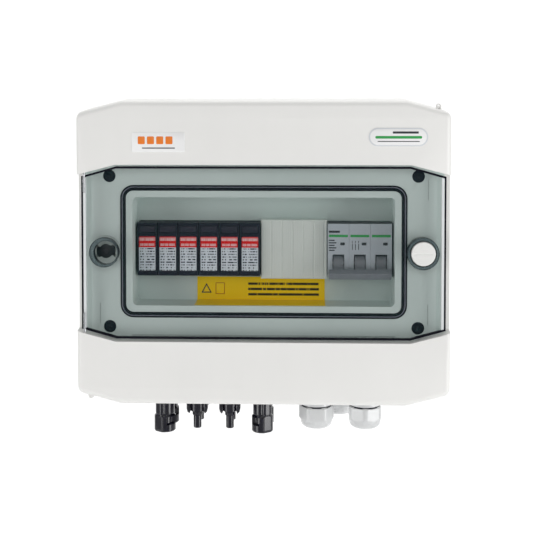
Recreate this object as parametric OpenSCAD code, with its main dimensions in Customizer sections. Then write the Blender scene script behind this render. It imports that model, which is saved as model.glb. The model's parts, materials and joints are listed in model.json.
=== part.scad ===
// Surface-mounted DC combiner box: a back box, a front cover with a hinged clear door,
// and on a 35 mm rail six plug-in surge arresters, a blanking strip and a three-pole breaker.
// Millimetres. Origin: centre of the back face, on the wall. +Z up, the front looks along -Y.

/* [Enclosure] */
// Width at the joint between the two halves
box_w = 314; // [300:1:345]
// Height at the joint between the two halves
box_h = 257; // [240:1:290]
// Depth of the back box, from the wall to the joint
base_d = 96; // [92:1:120]
// Depth of the front cover, from the joint to its front face
cover_d = 46; // [45:1:56]
// Thickness of the moulded walls
wall = 2.8; // [2.2:0.1:3.4]
// Radius of the four corners, seen from the front
corner_r = 10; // [6:1:16]
// How far each side of the cover leans in from the joint to the front
cover_draft = 2.9; // [1:0.1:4]
// Radius of the front edges of the cover
edge_r = 5; // [3:0.5:7]
// Fall of the sloping ends of the top and bottom edges, in degrees
slope = 14.5; // [8:0.5:20]
// Width of one sloping end
slope_w = 39.5; // [30:0.5:50]

/* [Door] */
// Height of the recess that the door lies in
zone_h = 146.4; // [140:0.2:156]
// How deep that recess is, from the front face to the flange under the door
zone_d = 14; // [13:0.5:18]
// Gap between the door and the recess
door_gap = 1.5; // [1:0.1:2.5]
// Thickness of the door
door_t = 2.8; // [2.2:0.1:3.2]
// How far the door's face lies behind the front face
door_sink = 5; // [4:0.5:5.5]
// Radius of the hinge pins
pin_r = 1.1; // [0.8:0.1:1.3]
// Extra gap at the door's ends, which lets it swing past the sloping bands
end_gap = 0.6; // [0.5:0.1:1.5]
// Diameter of the latch knob
knob_d = 20; // [17:0.5:21]
// Distance of the latch from the door's side
latch_inset = 18.5; // [17:0.5:20]

/* [Window] */
// Width of the pocket that shows the modules
pocket_w = 219; // [218.5:0.5:221]
// Height of that pocket
pocket_h = 91; // [84:1:94]
// Depth of the pocket behind the flange
pocket_d = 29; // [26:0.5:30]
// Width of the window seal
seal_w = 4.8; // [3.6:0.2:5.4]
// Distance from the pocket to the seal
seal_inset = 5.4; // [4.5:0.1:6]
// Gap between the module noses and the slot that they stand through
slot_gap = 0.6; // [0.5:0.1:1.2]

/* [Modules] */
// Width of one surge arrester pole
spd_pitch = 17.5; // [17:0.1:17.6]
// Width of one breaker pole
mcb_pitch = 18; // [17.5:0.1:18]
// Height of the module noses
nose_h = 45.2; // [44.6:0.1:45.6]
// Depth of the modules from the rail to their shoulders
shoulder_d = 43; // [42:0.5:44]
// Depth from the rail to the breaker's face
mcb_face_d = 64.5; // [62:0.5:65]
// Depth from the rail to the arrester plugs' faces
spd_face_d = 61; // [58:0.5:63]
// Swing of the breaker handle, in degrees
handle_swing = 76; // [60:1:80]

/* [Cable entries] */
// Spacing of the PV connectors along the box
pv_pitch = 28.9; // [27:0.1:31]
// Spacing of the two rows of PV connectors
pv_rows = 25; // [24:0.5:26]
// Length of the wide PV connectors below the box
pv_wide_l = 37.5; // [34:0.5:40]
// Width across flats of the gland nuts
gland_af = 28; // [27:0.5:30]
// Length of the glands below the box
gland_l = 34.5; // [32:0.5:37]
// Radius of the gland's seal bore
gland_bore_r = 8; // [6:0.5:9]

/* [Hidden] */
$fn = 48;

eps = 0.02;          // thickness of the layers that a hull joins
half_w = box_w / 2;
half_h = box_h / 2;
y_joint = -base_d;
y_front = -base_d - cover_d;
y_flange = y_front + zone_d;
y_door = y_front + door_sink;
y_mask = y_flange + pocket_d;
mask_t = 2.5;
back_t = 3;
y_shoulder = y_mask + mask_t + 0.5;
y_rail = y_shoulder + shoulder_d;

// Cover screws, under their caps in the corners of the door's recess.
screw_x = half_w - 28.3;
screw_z = zone_h / 2 - 9.95;
cap_r = 5.3;
cap_t = 1.6;
screw_r = 2;

// Recess for the door.
flat_half = half_w - slope_w;
zone_flat = flat_half + 4;
side_x = half_w - 13.2;          // cover's side wall under the door's skirts
skirt_x = half_w - 6.5;          // outside of the door's skirts
skirt_t = 2.5;
skirt_rear = y_flange - 0.6;
y_side = y_flange + 2.4;         // where the cover widens again behind the skirts
knuckle_r = pin_r + 1.2;
knuckle_l = 14;
hinge_x = -skirt_x + knuckle_r;
hinge_y = y_door + 0.2;
lip_half = zone_flat - 12;

// Latch and the keyholes that its cam turns in.
latch_x = skirt_x - latch_inset;
well_r = knob_d / 2 + 1.7;
well_wall = 2;
keyhole_r = 5.2;
wing_l = 16;
wing_h = 6.4;
seat_r = knob_d / 2 + 2;
seat_depth = 1.2;
cam_clear = 0.9;
shaft_r = 3.4;

// Window seal and pocket.
pocket_r = 4;
seal_r = 11;
seal_groove = 1.4;
seal_proud = 0.6;
flange_t = 2.6;

// Rail and modules.
n_spd = 6;
n_mcb = 3;
row_w = pocket_w - 3;
rail_h = 35;
rail_hat = 27;
rail_d = 7.5;
rail_t = 1;
rail_l = row_w + 4;
rail_post_x = rail_l / 2 - 32;
strip_w = row_w - n_spd * spd_pitch - n_mcb * mcb_pitch;     // fills what the modules leave free
slot_w = row_w + 1;
slot_h = nose_h + 2 * slot_gap;
spd_x0 = -row_w / 2;
strip_x0 = spd_x0 + n_spd * spd_pitch;
mcb_x0 = strip_x0 + strip_w;
spd_h = 88;
mcb_h = 85;
y_spd_face = y_rail - spd_face_d;
y_mcb_face = y_rail - mcb_face_d;
fit = 0.15;          // gap between neighbouring modules
plug_gap = 0.3;      // gap between a plug and its base
y_plug_back = y_rail - 12;
blade_l = 7;
pivot_z = -11;
pivot_y = y_mcb_face + 5;
drum_r = 6.8;
lever_l = 14.5;
lever_w = 8.6;
slot_half = 7.6;
term_z = 33;
term_screw_r = 2.5;
clip_x = concat([for (i = [1, 4]) spd_x0 + (i + 0.5) * spd_pitch],
    [for (i = [0:n_mcb - 1]) mcb_x0 + (i + 0.5) * mcb_pitch]);
earth_x0 = -96;
earth_x1 = -20;
earth_y = -66;
earth_z = 92;
earth_posts = [earth_x0 + 6, earth_x1 - 6];
earth_holes = [for (i = [0:4]) earth_x0 + 18 + i * 10];

// PV connectors.
y_pv = [y_joint + 18, y_joint + 18 + pv_rows];
pv_x = [for (i = [0:3]) -89.2 + i * pv_pitch];
pv_hole_r = 8.3;
pv_thread_r = 8.1;
pv_flange_r = 10.4;
pv_flange_t = 3;
pv_inside = 15;
pv_slim_l = pv_wide_l - 2.5;
shell_r = 9.2;
shell_bore_r = 6.2;
mouth_r = 6.8;
mouth_d = 7;
probe_r = 3.5;

// Glands: two in front, one behind them.
gland_y = y_joint + gland_af / 2 + 10;
gland_pos = [[45.4, gland_y], [88.4, gland_y], [66.8, -gland_af]];
gland_thread_r = gland_af / 2 - 1.6;
gland_hole_r = gland_thread_r + 0.3;
locknut_af = gland_af + 1;
gland_hex_t = 7;
gland_inside = 9;
thread_gap = 0.08;
run = 0.08;          // radial clearance of a turning fit

// Leads from the PV connectors to the arresters.
lead_r = 2.7;
lead_sides = 12;
lead_steps = 12;
lead_depth = 5.5;
term_y = [y_shoulder + 17, y_shoulder + 25];

// ---------- helpers ----------
// Extrudes an outline drawn in X and Z from y = rear forward to y = front.
module slab(rear, front) {
    translate([0, rear, 0]) rotate([90, 0, 0]) linear_extrude(rear - front) children();
}
// Cylinder along Y from y = rear forward to y = front.
module ycyl(r, rear, front, x = 0, z = 0) {
    translate([x, rear, z]) rotate([90, 0, 0]) cylinder(r = r, h = rear - front);
}
// Cylinder along Z from z = low up to z = high.
module zcyl(r, low, high, x = 0, y = 0) {
    translate([x, y, low]) cylinder(r = r, h = high - low);
}
// Box given by its two corners.
module block(low, high) translate(low) cube(high - low);
module mirror_x() { children(); mirror([1, 0, 0]) children(); }
module mirror_z() { children(); mirror([0, 0, 1]) children(); }

function arc(c, r, a0, a1, n) = [for (i = [0:n]) let (a = a0 + (a1 - a0) * i / n) c + r * [cos(a), sin(a)]];
function flip(pts, s) = [for (i = [len(pts) - 1:-1:0]) [s[0] * pts[i][0], s[1] * pts[i][1]]];
function around(q) = concat(q, flip(q, [-1, 1]), [for (p = q) -p], flip(q, [1, -1]));

// Front outline of the box, drawn in by inset: flat top and bottom, sloping ends, round corners.
function outline(inset) =
    let (w = half_w - inset, h = half_h - inset, r = max(1.2, corner_r - inset),
         cx = w - r, cz = h + (-r - (cx - flat_half) * sin(slope)) / cos(slope))
    around(concat(arc([cx, cz], r, 0, 90 - slope, 7),
                  arc([flat_half - r * tan(slope / 2), h - r], r, 90 - slope, 90, 2)));
// Outline of the door's recess and of the door: flat, with sloping ends, cut off at half width w.
function zone(w, h, flat, fall = 0) = let (low = h - (w - flat) * tan(slope) - fall)
    [[w, low], [flat, h], [-flat, h], [-w, low], [-w, -low], [-flat, -h], [flat, -h], [w, -low]];
function rounded(w, h, r) = around(arc([w - r, h - r], r, 0, 90, 6));

module layer(y, inset) slab(y + eps, y) polygon(outline(inset));
module ring(rear, front, outer, inner) slab(rear, front) difference() {
    polygon(outer);
    polygon(inner);
}

// ---------- enclosure ----------
module cover_outer() hull() {
    layer(y_joint - eps, 0);
    for (a = [0:22.5:90])
        layer(y_front + edge_r * (1 - sin(a)), cover_draft + edge_r * (1 - cos(a)));
}
module cover_inner() hull() {
    layer(y_joint + 1, wall);
    layer(y_front + wall + edge_r, cover_draft + wall);
    layer(y_front + wall, cover_draft + edge_r);
}
// Space taken by the door, its skirts and what is swept when it opens.
module door_space(grow) {
    slab(y_flange + grow, y_front - 5) polygon(zone(half_w + 10, zone_h / 2 + grow, zone_flat));
    intersection() {
        slab(y_side + grow, y_front - 5) polygon(zone(half_w + 10, zone_h / 2 + grow, zone_flat));
        mirror_x() block([side_x - grow, y_front - 5, -half_h], [half_w + 10, y_side + grow, half_h]);
    }
}
module keyhole(x) {
    ycyl(keyhole_r, y_flange + flange_t + 5, y_flange - 1, x);
    intersection() {
        block([x - wing_l / 2, y_flange - 1, -wing_h], [x + wing_l / 2, y_flange + flange_t + 5, wing_h]);
        slab(y_flange + flange_t + 5, y_flange - 1)
            translate([x, 0]) polygon([[-9, -6], [0, 0], [-9, 6], [-9, 0], [9, 6], [0, 0], [9, -6], [9, 0]]
                , paths = [[0, 1, 2], [4, 5, 6]]);
    }
}
module seal_eyelet(sx) {
    translate([sx * (flat_half + 27), 0, sx * (half_h - 27 * tan(slope) - cover_draft + 1.2)])
        difference() {
            ycyl(2.1, y_front + 13, y_front + 10);
            ycyl(0.9, y_front + 14, y_front + 9);
        }
}
module front_cover() color("whitesmoke") difference() {
    union() {
        difference() {
            cover_outer();
            door_space(0);
            difference() {
                cover_inner();
                door_space(flange_t);
            }
        }
        // pocket for the modules
        ring(y_mask + mask_t, y_flange + 1, rounded(pocket_w / 2 + 2.2, pocket_h / 2 + 2.2, pocket_r + 2),
             rounded(pocket_w / 2, pocket_h / 2, pocket_r));
        ring(y_mask + mask_t, y_mask, rounded(pocket_w / 2 + 1, pocket_h / 2 + 1, pocket_r),
             rounded(slot_w / 2, slot_h / 2, 1));
        // rim at the joint
        ring(y_joint, y_joint - 5, outline(wall / 2 + 0.3), outline(7));
        // screw tubes
        mirror_x() mirror_z() ycyl(cap_r + 1.8, y_joint, y_flange + 1, screw_x, screw_z);
        // thickening around the keyholes
        mirror_x() intersection() {
            ycyl(seat_r + 2, y_flange + flange_t + seat_depth, y_flange + 0.5, latch_x);
            block([0, y_front, -half_h], [side_x - 0.5, y_joint, half_h]);
        }
        // sealing eyelets on two opposite corners
        for (sx = [-1, 1]) seal_eyelet(sx);
        // blocks that hold the hinge pins
        mirror_z() intersection() {
            block([hinge_x - 5, hinge_y - 4, zone_h / 2 - 12], [hinge_x + 7, hinge_y + 5, zone_h / 2 + 3]);
            cover_outer();
            slab(y_joint, y_front) difference() {
                polygon(zone(half_w, zone_h / 2 + 4, zone_flat));
                polygon(zone(half_w, zone_h / 2, zone_flat));
            }
        }
    }
    // window through the flange
    slab(y_flange + flange_t + 1, y_flange - 1) polygon(rounded(pocket_w / 2, pocket_h / 2, pocket_r));
    // groove for the window seal
    ring(y_flange + seal_groove, y_flange - 1, seal_outline(0), seal_outline(seal_w));
    // keyholes, each in a round seat
    mirror_x() {
        keyhole(latch_x);
        ycyl(seat_r, y_flange + seat_depth, y_flange - 1, latch_x);
    }
    // screws: seat for the cap, passage for the head, hole for the shank
    mirror_x() mirror_z() {
        ycyl(cap_r, y_flange + cap_t, y_flange - 1, screw_x, screw_z);
        ycyl(cap_r - 0.5, y_joint - 4, y_flange, screw_x, screw_z);
        ycyl(screw_r + 0.4, y_joint + 1, y_joint - 6, screw_x, screw_z);
    }
    // hinge pin holes
    mirror_z() zcyl(pin_r, zone_h / 2 - 14, pin_top, hinge_x, hinge_y);
}
function seal_outline(inset) = rounded(pocket_w / 2 + seal_inset + seal_w - inset,
    pocket_h / 2 + seal_inset + seal_w - inset, seal_r - inset);

module back_box() color("whitesmoke") difference() {
    union() {
        difference() {
            union() {
                slab(-3, y_joint) polygon(outline(0));
                hull() {
                    layer(-3 - eps, 0);
                    layer(-eps, 2.5);
                }
            }
            slab(-back_t, y_joint - 1) polygon(outline(wall));
        }
        ring(y_joint + 6, y_joint, outline(wall / 2), outline(7));
        mirror_x() mirror_z() ycyl(6.5, -back_t + 0.5, y_joint, screw_x, screw_z);
        mirror_x() ycyl(7, -back_t + 0.5, y_rail + rail_d, rail_post_x);
        for (x = earth_posts) ycyl(5, -back_t + 0.5, earth_y + 9, x, earth_z);
        mirror_x() mirror_z() ycyl(7.5, -1, -back_t - 2, wall_x, wall_z);
    }
    // groove for the cover seal
    ring(y_joint + 2, y_joint - 1, outline(2.4), outline(5.4));
    mirror_x() mirror_z() ycyl(screw_r, y_joint + 16, y_joint - 1, screw_x, screw_z);
    mirror_x() ycyl(2, y_rail + rail_d + 12, y_rail + rail_d - 1, rail_post_x);
    mirror_x() mirror_z() ycyl(wall_hole_r, 1, -back_t - 3, wall_x, wall_z);
    for (x = pv_x, y = y_pv) zcyl(pv_hole_r, -half_h - 1, -half_h + wall + 1, x, y);
    for (g = gland_pos) zcyl(gland_hole_r, -half_h - 1, -half_h + wall + 1, g[0], g[1]);
}
// Holes for wall anchors.
wall_x = half_w - 29;
wall_z = half_h - 28.5;
wall_hole_r = 2.75;

module cover_seal() color("dimgray")
    ring(y_joint + 2, y_joint, outline(2.4), outline(5.4));
module cover_screws() color("silver") mirror_x() mirror_z() {
    ycyl(3.6, y_joint - 4, y_joint - 6.6, screw_x, screw_z);
    ycyl(screw_r - 0.05, y_joint + 14, y_joint - 4, screw_x, screw_z);
}
module screw_caps() color("black") mirror_x() mirror_z() {
    ycyl(cap_r - 0.05, y_flange + cap_t, y_flange, screw_x, screw_z);
    ycyl(cap_r - 0.6, y_flange + cap_t + 3, y_flange + cap_t, screw_x, screw_z);
}
module window_seal() color("black")
    ring(y_flange + seal_groove, y_flange - seal_proud, seal_outline(0), seal_outline(seal_w));

// ---------- door ----------
door_hw = skirt_x;
door_hh = zone_h / 2 - door_gap;
door_outline = zone(door_hw, door_hh, zone_flat, end_gap);
knuckle_z = door_hh - (door_hw - zone_flat) * tan(slope) - end_gap;
pin_top = zone_h / 2 - (door_hw - zone_flat) * tan(slope) + 5;
rib_y = y_flange - seal_proud - 0.2;
module door_panel() color("lightsteelblue", 0.4) difference() {
    union() {
        slab(y_door + door_t, y_door) polygon(door_outline);
        // lips along the top and bottom edges
        mirror_z() block([-lip_half, y_door + 1, door_hh - 2], [lip_half, y_flange - 1.2, door_hh]);
        // rims at the sides
        intersection() {
            slab(skirt_rear, y_door) polygon(door_outline);
            mirror_x() block([door_hw - skirt_t, y_door, -half_h], [door_hw, skirt_rear, half_h]);
        }
        // rib that presses on the seal
        ring(rib_y, y_door + 1, seal_outline(seal_w / 2 - 0.8), seal_outline(seal_w / 2 + 0.8));
        // wells at both sides
        mirror_x() ycyl(well_r + well_wall, y_flange - 1.4, y_door, latch_x);
        // knuckles
        mirror_z() zcyl(knuckle_r, knuckle_z - knuckle_l, knuckle_z, hinge_x, hinge_y);
    }
    mirror_x() ycyl(well_r, y_flange - 3, y_door - 1, latch_x);
    mirror_x() ycyl(shaft_r + run, y_flange, y_door, latch_x);
    mirror_z() zcyl(pin_r + 0.06, knuckle_z - knuckle_l - 1, knuckle_z + 1, hinge_x, hinge_y);
}
module hinge_pins() color("silver") mirror_z()
    zcyl(pin_r, knuckle_z - knuckle_l + 1, pin_top - 0.5, hinge_x, hinge_y);
module latch_knob() color("white") difference() {
    union() {
        ycyl(knob_d / 2, y_flange - 3.2, y_door - 1.2, latch_x);
        ycyl(shaft_r, y_flange + 1.2, y_flange - 3.2, latch_x);
    }
    // coin slot across the knob
    block([latch_x - knob_d / 2 + 2, y_door - 2, -0.6], [latch_x + knob_d / 2 - 2, y_door - 0.4, 0.6]);
    block([latch_x - 2, y_flange - 2, -2], [latch_x + 2, y_flange + 2, 2]);
}
// Cross bar that turns behind the flange, with the square end that drives it.
module latch_cam() color("dimgray") {
    intersection() {
        ycyl(wing_l / 2 - cam_clear, cam_y + 3.6, cam_y, latch_x);
        block([latch_x - wing_l, y_flange, -2.3], [latch_x + wing_l, y_flange + 20, 2.3]);
    }
    ycyl(shaft_r, cam_y + 1, y_flange + 1.2, latch_x);
    block([latch_x - 1.9, y_flange - 1.9, -1.9], [latch_x + 1.9, y_flange + 2.2, 1.9]);
}
cam_y = y_flange + flange_t + seat_depth + 0.4;
// Spring washer that keeps the knob in its well.
module latch_clip() color("silver") difference() {
    ycyl(shaft_r + 2.4, y_flange - 0.4, y_flange - 1.3, latch_x);
    ycyl(shaft_r + 0.05, y_flange, y_flange - 2, latch_x);
}

// ---------- rail and modules ----------
module din_rail() color("silver") difference() {
    translate([-rail_l / 2, 0, 0]) rotate([90, 0, 90]) linear_extrude(rail_l) polygon([
        [y_rail, rail_h / 2], [y_rail, rail_hat / 2 - rail_t], [y_rail + rail_d - rail_t, rail_hat / 2 - rail_t],
        [y_rail + rail_d - rail_t, -rail_hat / 2 + rail_t], [y_rail, -rail_hat / 2 + rail_t], [y_rail, -rail_h / 2],
        [y_rail + rail_t, -rail_h / 2], [y_rail + rail_t, -rail_hat / 2], [y_rail + rail_d, -rail_hat / 2],
        [y_rail + rail_d, rail_hat / 2], [y_rail + rail_t, rail_hat / 2], [y_rail + rail_t, rail_h / 2]]);
    mirror_x() ycyl(2.6, y_rail + rail_d + 1, y_rail, rail_post_x);
}
module rail_screws() color("silver") mirror_x() {
    ycyl(4.2, y_rail + rail_d - rail_t, y_rail + rail_d - rail_t - 2.8, rail_post_x);
    ycyl(1.95, y_rail + rail_d + 10, y_rail + rail_d - rail_t, rail_post_x);
}
// Feet that grip the rail from above, cut along the module's back.
module rail_grip(x0, x1) {
    block([x0, y_rail - 0.5, rail_h / 2 + 0.3], [x1, y_rail + 4.5, rail_h / 2 + 5]);
    block([x0, y_rail + rail_t + 0.3, rail_h / 2 - 2.5], [x1, y_rail + 4.5, rail_h / 2 + 1]);
    block([x0, y_rail - 0.5, -rail_h / 2 - 6], [x1, y_rail + 1.2, -rail_h / 2 - 0.3]);
}
// Base of three arrester poles: a floor on the rail, and terminal blocks above and below the plugs.
module spd_base(first) {
    x0 = spd_x0 + first * spd_pitch + fit / 2;
    x1 = spd_x0 + (first + 3) * spd_pitch - fit / 2;
    color("darkslategray") difference() {
        union() {
            block([x0, y_plug_back + plug_gap, -spd_h / 2], [x1, y_rail, spd_h / 2]);
            mirror_z() block([x0, y_shoulder, nose_h / 2 + 0.6], [x1, y_rail, spd_h / 2]);
            rail_grip(x0, x1);
            clip_guides((x0 + x1) / 2);
        }
        for (i = [0:2]) {
            x = spd_x0 + (first + i + 0.5) * spd_pitch;
            mirror_z() block([x - 4.5, y_plug_back - 1, 6], [x + 4.5, y_plug_back + blade_l + 1, 9]);
            mirror_z() ycyl(term_screw_r + 0.4, y_shoulder + 10, y_shoulder - 1, x, term_z);
            for (y = term_y) zcyl(lead_r + 0.2, -spd_h / 2 - 1, -spd_h / 2 + lead_depth + 0.5, x, y);
            zcyl(lead_r + 0.2, spd_h / 2 - lead_depth - 0.5, spd_h / 2 + 1, x, term_y[0]);
        }
    }
}
module spd_plug(i) {
    x0 = spd_x0 + i * spd_pitch + fit;
    x1 = spd_x0 + (i + 1) * spd_pitch - fit;
    color([0.16, 0.16, 0.2]) difference() {
        block([x0, y_spd_face, -nose_h / 2], [x1, y_plug_back, nose_h / 2]);
        // finger recess near the top of the face
        block([x0 + 1.2, y_spd_face - 1, nose_h / 2 - 7.4], [x1 - 1.2, y_spd_face + 0.8, nose_h / 2 - 2.2]);
        // bevel along the top edge
        translate([x0 - 1, y_spd_face, nose_h / 2]) rotate([45, 0, 0]) cube([spd_pitch + 2, 1.7, 1.7], center = false);
    }
}
module spd_blades(i) {
    x = spd_x0 + (i + 0.5) * spd_pitch;
    color("silver") mirror_z() block([x - 3.8, y_plug_back, 6.9], [x + 3.8, y_plug_back + blade_l, 8.1]);
}
module mcb_pole(i) {
    x0 = mcb_x0 + i * mcb_pitch + fit / 2;
    x1 = mcb_x0 + (i + 1) * mcb_pitch - fit / 2;
    x = mcb_x0 + (i + 0.5) * mcb_pitch;
    color("gainsboro") difference() {
        union() {
            block([x0, y_shoulder, -mcb_h / 2], [x1, y_rail, mcb_h / 2]);
            block([x0, y_mcb_face, -nose_h / 2], [x1, y_shoulder + 1, nose_h / 2]);
            rail_grip(x0, x1);
            clip_guides(x);
        }
        // opening for the lever and its drum
        block([x - lever_w / 2 - 0.6, y_mcb_face - 1, pivot_z - slot_half],
              [x + lever_w / 2 + 0.6, pivot_y + drum_r + 1, pivot_z + slot_half]);
        // bearing hole of the pivot rod
        translate([x0 - 1, pivot_y, pivot_z]) rotate([0, 90, 0]) cylinder(r = 1.55, h = mcb_pitch + 2);
        // terminals
        mirror_z() ycyl(term_screw_r + 0.4, y_shoulder + 10, y_shoulder - 1, x, term_z);
        mirror_z() block([x - 4.5, y_rail - 32, mcb_h / 2 - 8], [x + 4.5, y_rail - 22, mcb_h / 2 + 1]);
        // contact window
        block([x + 2.2, y_mcb_face - 1, 5], [x + 5.6, y_mcb_face + 0.6, 6.9]);
    }
}
// The levers at their rest angle, each a drum on the pivot rod and a finger plate.
module mcb_levers() for (i = [0:n_mcb - 1]) {
    x = mcb_x0 + (i + 0.5) * mcb_pitch;
    color("dimgray") translate([x, pivot_y, pivot_z]) rotate([handle_swing / 2, 0, 0]) difference() {
        union() {
            rotate([0, 90, 0]) cylinder(r = drum_r, h = lever_w, center = true);
            block([-lever_w / 2, -lever_l, -2.2], [lever_w / 2, 0, 2.4]);
        }
        rotate([0, 90, 0]) cylinder(r = 1.55, h = lever_w + 2, center = true);
    }
}
// Bar that ties the three levers together, over their tips.
module mcb_tie_bar() color("slategray")
    translate([mcb_x0, pivot_y, pivot_z]) rotate([handle_swing / 2, 0, 0]) difference() {
        translate([0.8, -lever_l - 1.4, -4]) cube([n_mcb * mcb_pitch - 1.6, 5.2, 7.2]);
        for (i = [0:n_mcb - 1])
            translate([(i + 0.5) * mcb_pitch - lever_w / 2, -lever_l, -2.2]) cube([lever_w, 8, 4.6]);
    }
module mcb_pivot() color("silver")
    translate([mcb_x0 + 1, pivot_y, pivot_z]) rotate([0, 90, 0]) cylinder(r = 1.5, h = n_mcb * mcb_pitch - 2);
// Foot slide that holds a module on the rail from below, with a tab for a screwdriver.
module rail_clip(x) color("black") {
    block([x - 4, y_rail + 1.6, -spd_h / 2 - 2], [x + 4, y_rail + 3.6, -rail_h / 2 + 2.2]);
    block([x - 4, y_rail + 1.6, -spd_h / 2 - 3.5], [x + 4, y_rail + 5, -spd_h / 2 - 1.5]);
}
// Guides on both sides of a foot slide.
module clip_guides(x) for (s = [-1, 1]) translate([x + s * 5.2, 0, 0])
    block([-0.8, y_rail - 0.5, -36], [0.8, y_rail + 3.6, -24]);
module terminal_screws() color("silver") {
    for (i = [0:n_spd - 1]) term_pair(spd_x0 + (i + 0.5) * spd_pitch);
    for (i = [0:n_mcb - 1]) term_pair(mcb_x0 + (i + 0.5) * mcb_pitch);
    for (x = earth_holes) ycyl(1.95, earth_y + 4, earth_y - 1.5, x, earth_z);
    for (x = earth_posts) ycyl(3.4, earth_y, earth_y - 2.4, x, earth_z);
}
module term_pair(x) mirror_z() difference() {
    ycyl(term_screw_r, y_shoulder + 10, y_shoulder + 2.5, x, term_z);
    block([x - term_screw_r - 1, y_shoulder + 2, term_z - 0.4], [x + term_screw_r + 1, y_shoulder + 3.5, term_z + 0.4]);
}
// Ribbed strip that closes the free part of the slot.
module blank_strip() color("lightgray") {
    x0 = strip_x0 + 0.3;
    x1 = mcb_x0 - 0.3;
    y0 = y_flange + 17;
    h = slot_h / 2;
    difference() {
        union() {
            block([x0, y0, -h - 2], [x1, y0 + 1.6, h + 2]);
            mirror_z() block([x0, y0, h + 0.4], [x1, y_mask - 0.1, h + 2]);
            mirror_z() block([x0, y0 + 1, h - 2.3], [x1, y_mask + mask_t + 2, h - 0.8]);
            mirror_z() block([x0 + 1, y_mask + mask_t + 0.15, h - 1.2], [x1 - 1, y_mask + mask_t + 0.4, h + 0.4]);
        }
        for (x = [x0 + 9:9:x1 - 4]) block([x - 0.4, y0 - 1, -h - 3], [x + 0.4, y0 + 0.5, h + 3]);
    }
}

// Earth bar on two posts above the arresters, and the lead to it.
module earth_bar() color("goldenrod") difference() {
    block([earth_x0, earth_y, earth_z - 4.5], [earth_x1, earth_y + 9, earth_z + 4.5]);
    for (x = earth_holes) {
        ycyl(2, earth_y + 5, earth_y - 1, x, earth_z);
        zcyl(lead_r + 0.2, earth_z - 5, earth_z - 0.5, x, earth_y + 5);
    }
}
module earth_lead() color("green")
    lead([pole_x(1), term_y[0], spd_h / 2 - lead_depth], [earth_holes[0], earth_y + 5, earth_z - 2.3]);

// ---------- cable entries ----------
// Wide connector: flange, shell with two latch windows, thread and rear sleeve.
module pv_wide(x, y) color([0.12, 0.12, 0.14]) difference() {
    z0 = -half_h;
    union() {
        zcyl(pv_flange_r, z0 - pv_flange_t, z0, x, y);
        zcyl(shell_r, z0 - pv_wide_l, z0 - pv_flange_t, x, y);
        zcyl(pv_thread_r, z0, z0 + pv_inside, x, y);
    }
    zcyl(shell_bore_r, z0 - pv_wide_l - 1, z0 - 6, x, y);
    zcyl(mouth_r, z0 - pv_wide_l - 1, z0 - pv_wide_l + mouth_d, x, y);
    zcyl(lead_r + 0.2, z0 + pv_inside - 8, z0 + pv_inside + 1, x, y);
    // latch windows at both sides
    block([x - 12, y - 3.2, z0 - pv_wide_l + 9], [x + 12, y + 3.2, z0 - pv_wide_l + 15.5]);
    // flats on the shell, front and back
    for (s = [-1, 1]) translate([x, y + s * (shell_r + 1.8), z0 - pv_flange_t - pv_wide_l / 2])
        cube([9, 4.4, pv_wide_l - 14], center = true);
}
// Slim connector: flange, latch body with two fingers, and the probe.
module pv_slim(x, y) color([0.12, 0.12, 0.14]) difference() {
    z0 = -half_h;
    union() {
        zcyl(pv_flange_r, z0 - pv_flange_t, z0, x, y);
        zcyl(6.4, z0 - 14, z0 - pv_flange_t, x, y);
        zcyl(probe_r + 1, z0 - 24, z0 - 13, x, y);
        zcyl(probe_r, z0 - pv_slim_l, z0 - 23, x, y);
        for (s = [-1, 1]) {
            translate([x + s * 6.8, y, z0 - 11.5]) cube([2.4, 6, 19], center = true);
            translate([x + s * 7.6, y, z0 - 18.5]) cube([2.6, 6, 5], center = true);
        }
        zcyl(pv_thread_r, z0, z0 + pv_inside, x, y);
    }
    zcyl(2.1, z0 - pv_slim_l - 1, z0 - 8, x, y);
    zcyl(lead_r + 0.2, z0 + pv_inside - 8, z0 + pv_inside + 1, x, y);
}
module pv_wide_row(y) for (x = [pv_x[0], pv_x[3]]) pv_wide(x, y);
module pv_slim_row(y) for (x = [pv_x[1], pv_x[2]]) pv_slim(x, y);
module pv_locknuts() color([0.12, 0.12, 0.14]) for (x = pv_x, y = y_pv) difference() {
    translate([x, y, -half_h + wall]) rotate(30) cylinder(r = 11.6, h = 5, $fn = 6);
    zcyl(pv_thread_r + 0.1, -half_h, -half_h + wall + 6, x, y);
}
// Contact pins of the wide connectors and sockets of the slim ones.
module pv_contacts() color("silver") for (y = y_pv) {
    for (x = [pv_x[0], pv_x[3]]) zcyl(1.9, -half_h - pv_wide_l + mouth_d + 1, -half_h - 6, x, y);
    for (x = [pv_x[1], pv_x[2]]) difference() {
        zcyl(2.1, -half_h - pv_slim_l + 1.5, -half_h - 8, x, y);
        zcyl(1.5, -half_h - pv_slim_l, -half_h - 16, x, y);
    }
}
// Gland body: hexagon outside, thread through the wall, and a threaded neck under the nut.
module gland_body(p, turn) color("lightgray") difference() {
    z0 = -half_h;
    union() {
        translate([p[0], p[1], z0 - gland_hex_t]) rotate(turn) cylinder(d = gland_af / cos(30), h = gland_hex_t, $fn = 6);
        zcyl(gland_thread_r, z0 - 2, z0 + gland_inside, p[0], p[1]);
        zcyl(neck_r, z0 - gland_l + 10, z0 - 2, p[0], p[1]);
    }
    zcyl(gland_bore_r + 1.2, z0 - gland_l, z0 + gland_inside + 1, p[0], p[1]);
    zcyl(seal_out_r, z0 - gland_l, z0 - gland_l + 22, p[0], p[1]);
}
neck_r = gland_af / 2 - 2.4;
seal_out_r = neck_r - 1.2;
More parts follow.
